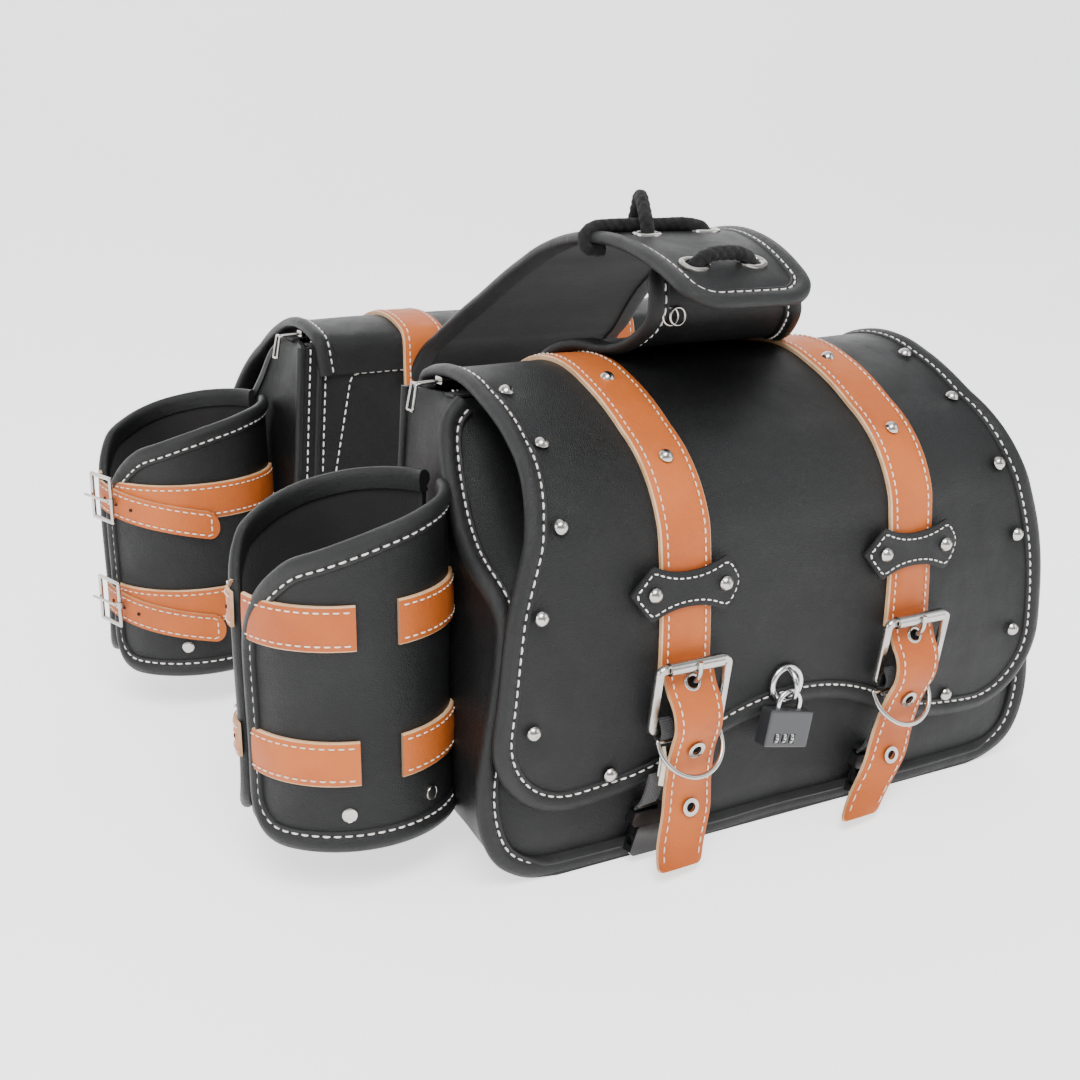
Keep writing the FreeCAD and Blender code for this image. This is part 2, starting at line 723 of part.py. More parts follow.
def buckle_rollers():
    """The rollers that turn on the buckles' top bars."""
    rollers = []
    up = "Sizes.buckle_low + Sizes.buckle_tall"
    for number, side in enumerate(SIDES):
        middle = "%d * Sizes.strap_x" % side
        place = (middle, "Sizes.buckle_out", up)
        tube = rod("RollerTube%d" % number, "Sizes.roller_radius", "Sizes.roller_length", *place)
        bore = rod("RollerBore%d" % number, "Sizes.bar_radius + Sizes.pin_play", "Sizes.roller_length + 2", *place)
        rollers.append(combine("Part::Cut", "Roller%d" % number, [tube, bore]))
    return combine("Part::Compound", "Rollers", rollers)


def buckle_prongs():
    """The roller buckles' prongs, hung on the lower bars and lying on the rollers."""
    prongs = []
    out = cell("buckle_out")
    low = cell("buckle_low")
    for side in SIDES:
        middle = side * cell("strap_x")
        tip = spot(middle, out + 6.4, low + 44)
        root = spot(middle, out + 1.6, low + 2.6)
        arm = Part.makeCylinder(cell("prong_radius"), (tip - root).Length, root, tip - root)
        sleeve = Part.makeCylinder(3, 5, spot(middle - 2.5, out, low), Vector(1, 0, 0))
        bore_radius = cell("bar_radius") + cell("pin_play")
        bore = Part.makeCylinder(bore_radius, 9, spot(middle - 4.5, out, low), Vector(1, 0, 0))
        prongs.append(sleeve.fuse([arm, Part.makeSphere(cell("prong_radius"), tip)]).cut(bore))
    return Part.makeCompound(prongs)


def clip_socket(number, side):
    """The hollow half of a side release clip, fixed low on the bag's front."""
    along = "%d * Sizes.strap_x - Sizes.clip_shift" % side
    middle = "Sizes.socket_low + Sizes.socket_tall / 2"
    block = plate("ClipSocket%d" % number, "Sizes.clip_wide", "Sizes.socket_tall", "Sizes.clip_deep",
                  along, "Sizes.clip_out", middle, "3")
    hollow = primitive(
        "Part::Box", "ClipHollow%d" % number,
        {"Length": "Sizes.clip_wide - 5", "Width": "Sizes.clip_deep - 3", "Height": "Sizes.socket_tall - 2"},
        along + " - Sizes.clip_wide / 2 + 2.5", "Sizes.clip_out + Sizes.clip_deep - 1.5", "Sizes.socket_low + 3",
    )
    return combine("Part::Cut", "ClipSocketCut%d" % number, [block, hollow])


def clip_plug(number, side):
    """The plug of a side release clip: a webbing bar and two tines in the socket."""
    along = "%d * Sizes.strap_x - Sizes.clip_shift" % side
    low = "Sizes.socket_low + Sizes.socket_tall"
    head = plate("ClipPlug%d" % number, "Sizes.clip_wide - 2", "Sizes.plug_tall", "Sizes.clip_deep",
                 along, "Sizes.clip_out", low + " + 0.3 + Sizes.plug_tall / 2", "3")
    pieces = [head]
    for end in SIDES:
        shift = "%s + %d * 5 - Sizes.tine_wide / 2" % (along, end)
        sizes = {"Length": "Sizes.tine_wide", "Width": "Sizes.clip_deep - 4.4", "Height": "Sizes.socket_tall - 4"}
        tine = primitive("Part::Box", "ClipTine%d%d" % (number, end + 1), sizes,
                         shift, "Sizes.clip_out + Sizes.clip_deep - 2.2", low + " - Sizes.socket_tall + 5")
        pieces.append(tine)
    whole = combine("Part::MultiFuse", "ClipPlugFuse%d" % number, pieces)
    slot = primitive(
        "Part::Box", "ClipWebSlot%d" % number,
        {"Length": "Sizes.clip_wide - 8", "Width": "Sizes.clip_deep + 2", "Height": "3"},
        along + " - Sizes.clip_wide / 2 + 4", "Sizes.clip_out + Sizes.clip_deep + 1", low + " + Sizes.plug_tall - 5",
    )
    return combine("Part::Cut", "ClipPlugCut%d" % number, [whole, slot])


def clips(maker, name):
    """A bag's two clips, or two halves of them."""
    return combine("Part::Compound", name, [maker(number, side) for number, side in enumerate(SIDES)])


def zip_tapes():
    """The two halves of the zip's tape, on the front and back edges of the mouth."""
    back = primitive(
        "Part::Box", "ZipTapeBack",
        {"Length": "Sizes.tape_length", "Width": "Sizes.tape_wide", "Height": "Sizes.tape_thick"},
        "-Sizes.tape_length / 2", "Sizes.tape_wide + 2", "Sizes.bag_top",
    )
    front = primitive(
        "Part::Box", "ZipTapeFront",
        {"Length": "Sizes.tape_length", "Width": "Sizes.tape_wide", "Height": "Sizes.tape_thick"},
        "-Sizes.tape_length / 2", "2 * Sizes.tape_wide + 2 + Sizes.zip_mouth", "Sizes.bag_top",
    )
    return combine("Part::Compound", "ZipTapes", [back, front])


def zip_slider():
    """The zip's slider at the end of its track, with its pull lying outwards."""
    out = "Sizes.tape_wide + 2 + Sizes.zip_mouth / 2 + Sizes.slider_wide / 2"
    up = "Sizes.bag_top + Sizes.tape_thick + 0.3"
    block = primitive(
        "Part::Box", "SliderBlock",
        {"Length": "Sizes.slider_length", "Width": "Sizes.slider_wide", "Height": "Sizes.slider_tall"},
        "-Sizes.tape_length / 2 - 4", out, up,
    )
    pull = primitive(
        "Part::Box", "SliderPull",
        {"Length": "Sizes.pull_length", "Width": "Sizes.slider_wide - 3", "Height": "1.2"},
        "-Sizes.tape_length / 2 - 4 - Sizes.pull_length", out + " - 1.5", up + " + 1",
    )
    return combine("Part::MultiFuse", "Slider", [block, pull])


def yoke_place(along, out, up):
    """A place on the yoke, where out is the model's own Y."""
    return Vector(along, out, up)


def yoke_panel(profile, thick, low, high, taper):
    """One leather panel of the yoke, narrowed from its seam to its free end."""
    sheet_solid = sheet_between(profile, -thick, 0, cell("bag_x") + low, cell("bag_x") + high, yoke_place)
    outline = [(x + cell("bag_x"), y) for x, y in taper]
    corners = [Vector(x, y, 0) for x, y in outline]
    plan = Part.Face(Part.makePolygon(corners + corners[:1])).extrude(Vector(0, 0, TALL))
    return sheet_solid.common(plan)


def left_yoke():
    """The near panel, sewn to the left bag's back and turned up under the other panel."""
    taper = ((-88, -80), (-62, -125), (-60, -200), (38, -200), (72, -125), (100, -80))
    return yoke_panel(NEAR_PANEL, cell("yoke_thick"), -88, 100, taper)


def right_yoke():
    """The far panel, sewn to the right bag's back and laid over the left bag's top."""
    taper = ((-97, 120), (-82, 40), (-78, -270), (6, -270), (30, -140), (72, 60), (78, 120))
    panel = yoke_panel(FAR_PANEL, cell("yoke_thick"), -97, 78, taper)
    drills = []
    for x, up, y in LACE_HOLES:
        here, normal = panel_top(y, up)
        foot = Vector(cell("bag_x") + x, here.y, here.z) - normal * 10
        drills.append(Part.makeCylinder(cell("grommet_hole"), 20, foot, normal))
    return panel.cut(drills)


def yoke_grommets():
    """Four eyelet rings through the far panel's free end."""
    rings = []
    for x, up, y in LACE_HOLES:
        here, normal = panel_top(y, up)
        centre = Vector(cell("bag_x") + x, here.y, here.z) + normal * 0.15
        ring = Part.makeCylinder(cell("grommet_radius"), 1.4, centre, normal)
        rings.append(ring.cut(Part.makeCylinder(cell("grommet_hole"), 1.4, centre, normal)))
    return Part.makeCompound(rings)


def panel_top(across, up):
    """The far panel's upper face at a place along it, and the way it faces."""
    points = [Vector(0, y, z) for y, z in moved_out(FAR_PANEL, -cell("yoke_thick"))]
    here, along = nearest(points, Vector(0, across, up))
    normal = Vector(0, -along.z, along.y)
    return here, normal if normal.z > 0 else normal * -1


def yoke_lace():
    """The cord between the grommets: two short bridges above the far panel."""
    radius = cell("lace_radius")
    runs = []
    for first, second in ((0, 1), (2, 3)):
        ends = []
        for index in (first, second):
            x, up, y = LACE_HOLES[index]
            here, normal = panel_top(y, up)
            ends.append(Vector(cell("bag_x") + x, here.y, here.z) + normal * 2)
        top = (ends[0] + ends[1]) * 0.5 + normal * 9
        path = Part.Wire(Part.Arc(ends[0], top, ends[1]).toShape())
        section = Part.makeCircle(radius, ends[0], path.Edges[0].tangentAt(path.Edges[0].FirstParameter))
        runs.append(path.makePipe(Part.Face(Part.Wire(section))))
    return Part.makeCompound(runs)


THIN_BUCKLE_PARTS = (("holder_buckles", holder_buckles), ("holder_prongs", holder_prongs))


def build_left_bag():
    """Every sub-part of the left bag."""
    keep(feature("BodyShell", body_shell()), "left_body_shell")
    board_up = "Sizes.wall + 20 + Sizes.board_tall / 2"
    keep(plate("BackBoard", "Sizes.board_length", "Sizes.board_tall", "Sizes.board_thick",
               "0", "Sizes.wall + 0.2", board_up, "20"), "left_back_board")
    keep(feature("BodyPiping", body_piping()), "left_body_piping")
    keep(zip_tapes(), "left_zip_tape")
    keep(zip_slider(), "left_zip_slider")
    for name, maker in (("holder_wrap", holder_wrap), ("holder_base", holder_base),
                        ("holder_straps", holder_straps), ("flap", flap), ("flap_piping", flap_piping),
                        ("flap_straps", flap_straps), ("strap_keepers", strap_keepers), ("studs", studs),
                        ("tongue_straps", tongue_straps), ("buckle_prongs", buckle_prongs),
                        ("d_rings", d_rings), ("lock_hasp", lock_hasp), ("lock_case", lock_case),
                        ("lock_shackle", lock_shackle)):
        keep(feature("Left_" + name, maker()), "left_" + name)
    for name, maker in THIN_BUCKLE_PARTS:
        solid = maker()
        solid.rotate(holder_foot(0), Vector(0, 0, 1), LEFT_BUCKLE_TURN)
        keep(feature("Left_" + name, solid), "left_" + name)
    for index in range(3):
        keep(feature("Dial%d" % (index + 1), lock_dial(index)), "left_lock_dial_%d" % (index + 1))
    keep(clips(clip_socket, "ClipSockets"), "left_clip_sockets")
    keep(clips(clip_plug, "ClipPlugs"), "left_clip_plugs")
    keep(buckle_frames(), "left_buckle_frames")
    keep(buckle_rollers(), "left_buckle_rollers")


def mirror_to_right():
    """The right bag's sub-parts, mirrored across the space between the bags."""
    own = ["left_" + name for name, _ in THIN_BUCKLE_PARTS]
    for source in [item for item in sub_parts if item.Label not in own]:
        copy = doc.addObject("Part::Mirroring", "Mirror_" + source.Name)
        copy.Source = source
        copy.Normal = Vector(0, 1, 0)
        copy.Base = Vector(0, 0, 0)
        keep(copy, source.Label.replace("left_", "right_"))
    foot = holder_foot(0)
    for name, maker in THIN_BUCKLE_PARTS:
        solid = maker().mirror(Vector(), Vector(0, 1, 0))
        solid.rotate(Vector(foot.x, -foot.y, foot.z), Vector(0, 0, 1), RIGHT_BUCKLE_TURN)
        keep(feature("Right_" + name, solid), "right_" + name)


def build_yoke():
    """The laced panels that join the two bags."""
    keep(feature("NearPanel", left_yoke()), "left_yoke")
    keep(feature("FarPanel", right_yoke()), "right_yoke")
    keep(feature("Grommets", yoke_grommets()), "yoke_grommets")
    keep(feature("Lace", yoke_lace()), "yoke_lace")


def check_and_write():
    """Stop on any failed object or shape, then write each sub-part to its file."""
    failed = [item.Label for item in doc.Objects if "Invalid" in item.State or "Error" in item.State]
    failed += [item.Label for item in sub_parts if item.Shape.isNull() or not item.Shape.isValid()]
    if failed:
        raise SystemExit("failed: " + ", ".join(failed))
    os.makedirs("parts", exist_ok=True)
    for item in sub_parts:
        item.Shape.exportStep("parts/%s.step" % item.Label)
        print("%-22s %d solids  %.0f mm3" % (item.Label, len(item.Shape.Solids), item.Shape.Volume))


build_left_bag()
doc.recompute()
mirror_to_right()
build_yoke()
doc.recompute()
check_and_write()
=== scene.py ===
import math

import bmesh
import bpy
import numpy as np
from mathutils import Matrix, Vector


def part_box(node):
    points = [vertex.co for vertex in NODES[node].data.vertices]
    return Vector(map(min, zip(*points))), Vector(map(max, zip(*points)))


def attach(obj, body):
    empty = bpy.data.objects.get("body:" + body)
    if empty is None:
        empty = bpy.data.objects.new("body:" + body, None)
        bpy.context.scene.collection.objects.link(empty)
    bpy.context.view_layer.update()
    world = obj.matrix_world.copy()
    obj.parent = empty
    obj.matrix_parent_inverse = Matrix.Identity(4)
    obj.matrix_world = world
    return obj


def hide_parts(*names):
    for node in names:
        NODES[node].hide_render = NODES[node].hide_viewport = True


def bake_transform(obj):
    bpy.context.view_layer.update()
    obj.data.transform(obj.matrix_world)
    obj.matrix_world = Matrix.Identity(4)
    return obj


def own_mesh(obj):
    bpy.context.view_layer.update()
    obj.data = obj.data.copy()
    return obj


# A pair of black leather saddle bags with tan straps, joined by a laced yoke, built round the
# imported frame. Lengths are in millimetres until a place function turns them into the frame's metres.

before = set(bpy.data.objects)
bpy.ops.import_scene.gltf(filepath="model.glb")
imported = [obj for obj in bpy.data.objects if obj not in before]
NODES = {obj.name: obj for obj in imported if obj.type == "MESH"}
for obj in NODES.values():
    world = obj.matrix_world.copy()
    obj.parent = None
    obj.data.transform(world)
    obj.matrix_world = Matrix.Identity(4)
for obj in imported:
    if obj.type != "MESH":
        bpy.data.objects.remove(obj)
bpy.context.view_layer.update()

MM = 0.001
SIDES = {"left": -1, "right": 1}
shell_low, shell_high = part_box("left_body_shell")
BAG_X = (shell_low.x + shell_high.x) / 2
GAP = -shell_high.y
DEPTH = (shell_high.y - shell_low.y) / MM
STRAP_X = 84            # how far each strap is from the bag's middle
STRAP_HALF, STRAP_SEW = 17, 12.8
TONGUE_HALF, TONGUE_THICK = 16.1, 2.7
BAND_HALF, BAND_SEW, BAND_LEVELS = 13, 9.5, (160, 82)
RIVET = 4.5             # a rivet's radius
PI = math.pi


# ---------------------------------------------------------------- flat lines

def arc(a, b, c, count=24):
    """Points on the arc through three places, from the first to the last."""
    (ax, ay), (bx, by), (cx, cy) = a, b, c
    d = 2 * (ax * (by - cy) + bx * (cy - ay) + cx * (ay - by))
    if abs(d) < 1e-6:
        return [(ax + (cx - ax) * t, ay + (cy - ay) * t) for t in np.linspace(0, 1, count)]
    sa, sb, sc = ax * ax + ay * ay, bx * bx + by * by, cx * cx + cy * cy
    ux = (sa * (by - cy) + sb * (cy - ay) + sc * (ay - by)) / d
    uy = (sa * (cx - bx) + sb * (ax - cx) + sc * (bx - ax)) / d
    radius = math.hypot(ax - ux, ay - uy)
    start = math.atan2(ay - uy, ax - ux)
    end = math.atan2(cy - uy, cx - ux)
    turn = (bx - ax) * (cy - by) - (by - ay) * (cx - bx)
    if turn > 0 and end < start:
        end += 2 * PI
    if turn < 0 and end > start:
        end -= 2 * PI
    return [(ux + radius * math.cos(t), uy + radius * math.sin(t)) for t in np.linspace(start, end, count)]


def arcs(points):
    """Arcs through every three points of an odd-length list."""
    line = []
    for start in range(0, len(points) - 2, 2):
        line += arc(*points[start:start + 3])[(1 if start else 0):]
    return line


def flat(*columns):
    """Places made of their coordinates."""
    return np.stack(columns, -1)


def travelled(line):
    """The distance along a line of each of its points."""
    return np.concatenate([[0], np.cumsum(np.linalg.norm(np.diff(line, axis=0), axis=1))])


def counted(line, count):
    """A line cut to a number of evenly spaced points."""
    line = np.array(line, float)
    run = travelled(line)
    at = np.linspace(0, run[-1], count)
    return np.stack([np.interp(at, run, line[:, k]) for k in range(line.shape[1])], -1)


def spaced(line, step):
    """A line with its points evenly spaced."""
    long = travelled(np.array(line, float))[-1]
    return counted(line, max(2, int(round(long / step)) + 1))


def eased(line, reach, closed=False):
    """A line with its corners eased over a number of points, its ends kept."""
    line = np.array(line, float)
    weights = np.hanning(2 * reach + 3)[1:-1]
    weights /= weights.sum()
    if closed:
        padded = np.concatenate([line[-reach:], line, line[:reach]])
    else:
        before = 2 * line[0] - line[reach:0:-1]
        after = 2 * line[-1] - line[-2:-reach - 2:-1]
        padded = np.concatenate([before, line, after])
    return np.stack([np.convolve(padded[:, k], weights, "valid") for k in range(line.shape[1])], -1)


def smooth(line, step, reach):
    """A line evenly spaced, with its corners eased."""
    return eased(spaced(line, step), reach)


def spline(points, step):
    """Evenly spaced points on a smooth line through the given ones."""
    p = np.array(points, float)
    p = np.concatenate([2 * p[:1] - p[1:2], p, 2 * p[-1:] - p[-2:-1]])
    line = []
    for i in range(1, len(p) - 2):
        a, b, c, d = p[i - 1:i + 3]
        t1 = max(np.linalg.norm(b - a), 1e-9) ** 0.5
        t2 = t1 + max(np.linalg.norm(c - b), 1e-9) ** 0.5
        t3 = t2 + max(np.linalg.norm(d - c), 1e-9) ** 0.5
        for t in np.linspace(t1, t2, 17)[:-1]:
            ab = a + (b - a) * (t / t1)
            bc = b + (c - b) * ((t - t1) / (t2 - t1))
            cd = c + (d - c) * ((t - t2) / (t3 - t2))
            abc = ab + (bc - ab) * (t / t2)
            bcd = bc + (cd - bc) * ((t - t1) / (t3 - t1))
            line.append(abc + (bcd - abc) * ((t - t1) / (t2 - t1)))
    line.append(p[-2])
    return spaced(line, step)


def ways(line, closed=False):
    """The direction of a line at each of its points."""
    line = np.array(line, float)
    if closed:
        run = np.roll(line, -1, 0) - np.roll(line, 1, 0)
    else:
        run = np.gradient(line, axis=0)
    return run / np.maximum(np.linalg.norm(run, axis=1, keepdims=True), 1e-9)


def inset(line, amount, closed=False):
    """A flat line moved to its left by an amount."""
    run = ways(line, closed)
    return np.array(line, float) + amount * flat(-run[:, 1], run[:, 0])


# ---------------------------------------------------------------- bent sheets

def bag_place(side):
    """Places on a bag: along from its middle, out from its back, up from the ground."""
    def place(along, out, up):
        along, out, up = np.broadcast_arrays(np.asarray(along, float), out, up)
        return flat(BAG_X + along * MM, side * (GAP + out * MM), up * MM)
    return place


def row_place(along, out, up):
    """Places on the yoke: along from the bags' middle, out is the frame's own Y."""
    along, out, up = np.broadcast_arrays(np.asarray(along, float), out, up)
    return flat(BAG_X + along * MM, out * MM, up * MM)


class Sheet:
    """A leather sheet bent along a side line. Flat places are (x, s), with s along the line."""

    def __init__(self, line, place, swell=0.0, dimples=()):
        self.line = spaced(line, 1.0)
        self.run = travelled(self.line)
        self.way = ways(self.line)
        self.place = place
        self.swell = swell
        self.dimples = dimples
        self.long = self.run[-1]

    def find(self, out, up):
        """The distance along the side line of the place nearest to a point."""
        return self.run[np.argmin(np.hypot(self.line[:, 0] - out, self.line[:, 1] - up))]

    def soften(self, x, s):
        """How far the leather stands off its smooth shape, in and out."""
        lift = self.swell * (np.sin(x / 41 + 1.3) * np.sin(s / 33 + 0.6) + 0.6 * np.sin(x / 23 - s / 29 + 2.1)
                             + 0.35 * np.sin(x / 13 + s / 17))
        for x0, s0 in self.dimples:
            lift = lift - 1.3 * np.exp(-((x - x0) ** 2 + (s - s0) ** 2) / 90)
        return lift

    def at(self, x, s, h=0.0):
        """Places in the frame for flat places and heights above the face."""
        x, s, h = np.broadcast_arrays(np.asarray(x, float), np.asarray(s, float), np.asarray(h, float))
        h = h + self.soften(x, s)
        k = np.clip(s, 0, self.long)
        a = np.interp(k, self.run, self.line[:, 0])
        b = np.interp(k, self.run, self.line[:, 1])
        ta = np.interp(k, self.run, self.way[:, 0])
        tb = np.interp(k, self.run, self.way[:, 1])
        size = np.maximum(np.hypot(ta, tb), 1e-9)
        ta, tb = ta / size, tb / size
        over = s - k
        return self.place(x, a + ta * over - tb * h, b + tb * over + ta * h)


class Round:
    """The bottle holder's wall. Flat places are (distance round from the bag, up)."""

    def __init__(self, place, centre, radius, way):
        self.place, self.centre, self.radius, self.way = place, centre, radius, way

    def at(self, x, s, h=0.0):
        """Places in the frame for flat places and heights above the face."""
        x, s, h = np.broadcast_arrays(np.asarray(x, float), np.asarray(s, float), np.asarray(h, float))
        reach = self.radius + h + 0.7 * np.sin(x / 23 + s / 31) * np.sin(s / 40)
        angle = x / self.radius
        along = self.centre[0] + reach * np.cos(angle)
        return self.place(along, self.centre[1] + self.way * reach * np.sin(angle), s)


def stations(sheet, path, h=0.0, closed=False):
    """Places along a flat path on a sheet, each with its sideways and upward directions."""
    path = np.array(path, float)
    run = ways(path, closed)
    x, s = path[:, 0], path[:, 1]
    here = sheet.at(x, s, h)
    up = sheet.at(x, s, h + 1.0) - here
    side = sheet.at(x - run[:, 1], s + run[:, 0], h) - sheet.at(x + run[:, 1], s - run[:, 0], h)
    up /= np.linalg.norm(up, axis=1, keepdims=True)
    side /= np.linalg.norm(side, axis=1, keepdims=True)
    return here, side, up


def carried(points, closed=False):
    """Stations along a line in space, turned as little as possible from one to the next."""
    points = np.array(points, float)
    run = ways(points, closed)
    first = np.cross(run[0], (0, 0, 1))
    if np.linalg.norm(first) < 0.2:
        first = np.cross(run[0], (0, 1, 0))
    side = first / np.linalg.norm(first)
    sides = []
    for way in run:
        side = side - way * side.dot(way)
        side = side / np.linalg.norm(side)
        sides.append(side)
    sides = np.array(sides)
    return points, sides, np.cross(run, sides)


# ---------------------------------------------------------------- meshes

def make(name, verts, faces, materials, marks=None, sharp=48):
    """A smooth-shaded mesh object with outward faces."""
    mesh = bpy.data.meshes.new(name)
    mesh.from_pydata([tuple(v) for v in verts], [], faces)
    for material in materials if isinstance(materials, (list, tuple)) else [materials]:
        mesh.materials.append(material)
    if marks is not None:
        mesh.polygons.foreach_set("material_index", marks)
    work = bmesh.new()
    work.from_mesh(mesh)
    bmesh.ops.recalc_face_normals(work, faces=work.faces)
    work.to_mesh(mesh)
    work.free()
    mesh.polygons.foreach_set("use_smooth", [True] * len(mesh.polygons))
    mesh.set_sharp_from_angle(angle=math.radians(sharp))
    item = bpy.data.objects.new(name, mesh)
    bpy.context.scene.collection.objects.link(item)
    return item


def grid_faces(rows, cols, start=0, wrap=False):
    """Quads of a grid of points."""
    faces = []
    for i in range(rows - 1):
        for j in range(cols if wrap else cols - 1):
            k = (j + 1) % cols
            faces.append((start + i * cols + j, start + i * cols + k,
                          start + (i + 1) * cols + k, start + (i + 1) * cols + j))
    return faces


def ends(sides, last):
    """The two faces that close a grid's first row and the row that starts at a point."""
    return [tuple(range(sides))[::-1], tuple(range(last, last + sides))]


def thick(name, outer, inner, materials):
    """A closed sheet between two grids. Faces are marked outside 0, inside 1, edge 2."""
    rows, cols = outer.shape[:2]
    count = rows * cols
    verts = np.concatenate([outer.reshape(-1, 3), inner.reshape(-1, 3)])
    faces = grid_faces(rows, cols)
    marks = [0] * len(faces)
    faces += [face[::-1] for face in grid_faces(rows, cols, count)]
    marks += [1] * (len(faces) - len(marks))
    rim = list(range(cols)) + [i * cols + cols - 1 for i in range(1, rows)]
    rim += [(rows - 1) * cols + j for j in range(cols - 2, -1, -1)]
    rim += [i * cols for i in range(rows - 2, 0, -1)]
    for a, b in zip(rim, rim[1:] + rim[:1]):
        faces.append((a, b, b + count, a + count))
        marks.append(2)
    return make(name, verts, faces, materials, marks)


def layer(name, sheet, x, s, top, low, materials):
    """A closed sheet over a grid of flat places, between two heights above the face."""
    return thick(name, sheet.at(x, s, top), sheet.at(x, s, low), materials)


def sweep(name, places, section, materials, marks=None, closed=False):
    """A section carried along stations. marks gives the material of each of its sides."""
    here, side, up = places
    section = np.array(section, float) * MM
    rows, cols = len(here), len(section)
    verts = here[:, None] + side[:, None] * section[None, :, :1] + up[:, None] * section[None, :, 1:]
    verts = verts.reshape(-1, 3)
    faces = grid_faces(rows, cols, wrap=True)
    if closed:
        last = (rows - 1) * cols
        faces += [(last + j, last + (j + 1) % cols, (j + 1) % cols, j) for j in range(cols)]
    shades = (list(marks) if marks else [0] * cols) * (len(faces) // cols)
    if not closed:
        faces += ends(cols, (rows - 1) * cols)
        shades += [max(marks) if marks else 0] * 2
    return make(name, verts, faces, materials, shades)


def around(count):
    """Angles evenly round a circle."""
    return np.arange(count) * 2 * PI / count


def ring(radius, sides=12, press=1.0):
    """A round section, pressed to a share of its height."""
    turn = around(sides)
    return flat(radius * np.cos(turn), radius * press * np.sin(turn))


def tube(name, points, radius, materials, sides=12, closed=False):
    """A round tube along a line in space."""
    return sweep(name, carried(points, closed), ring(radius, sides), materials, closed=closed)


def joined(name, items):
    """Several objects made into one."""
    bpy.ops.object.select_all(action="DESELECT")
    for item in items:
        item.select_set(True)
    bpy.context.view_layer.objects.active = items[0]
    bpy.ops.object.join()
    items[0].name = name
    items[0].data.name = name
    return items[0]


def stitches(name, runs, material, pitch=6.1, long=4.3, wide=1.25, proud=0.25):
    """Rows of thread dashes. Each run is (sheet, flat path, height)."""
    shape = [(-1, 0.35, -0.45), (-0.75, 0.85, 0.0), (0, 1.0, 0.18), (0.75, 0.85, 0.0), (1, 0.35, -0.45)]
    sides = 6
    form = np.array([(t * long / 2, size * wide / 2 * math.cos(a), z + size * wide * 0.42 * math.sin(a))
                     for t, size, z in shape for a in around(sides)])
    quads = grid_faces(len(shape), sides, wrap=True) + ends(sides, (len(shape) - 1) * sides)
    verts, faces = [], []
    for sheet, path, height in runs:
        path = np.array(path, float)
        length = np.linalg.norm(np.diff(path, axis=0), axis=1).sum()
        count = max(2, int(length / pitch))
        marks = counted(path, 4 * count + 1)
        mid = marks[2::4]
        way = marks[3::4] - marks[1::4]
        way /= np.maximum(np.linalg.norm(way, axis=1, keepdims=True), 1e-9)
        x = mid[:, None, 0] + way[:, None, 0] * form[None, :, 0] - way[:, None, 1] * form[None, :, 1]
        s = mid[:, None, 1] + way[:, None, 1] * form[None, :, 0] + way[:, None, 0] * form[None, :, 1]
        spots = sheet.at(x, s, height + proud + form[None, :, 2])
        for one in spots:
            start = len(verts)
            verts.extend(one)
            faces.extend(tuple(start + k for k in quad) for quad in quads)
    return make(name, verts, faces, material)


def coons(top, bottom, left, right, rows, cols):
    """A grid of flat places filled in between four lines."""
    top, bottom = counted(top, cols), counted(bottom, cols)
    left, right = counted(left, rows), counted(right, rows)
    u = np.linspace(0, 1, cols)[None, :, None]
    v = np.linspace(0, 1, rows)[:, None, None]
    grid = (1 - v) * top[None] + v * bottom[None] + (1 - u) * left[:, None] + u * right[:, None]
    grid -= (1 - u) * (1 - v) * top[0] + u * (1 - v) * top[-1]
    return grid - ((1 - u) * v * bottom[0] + u * v * bottom[-1])


# ---------------------------------------------------------------- materials

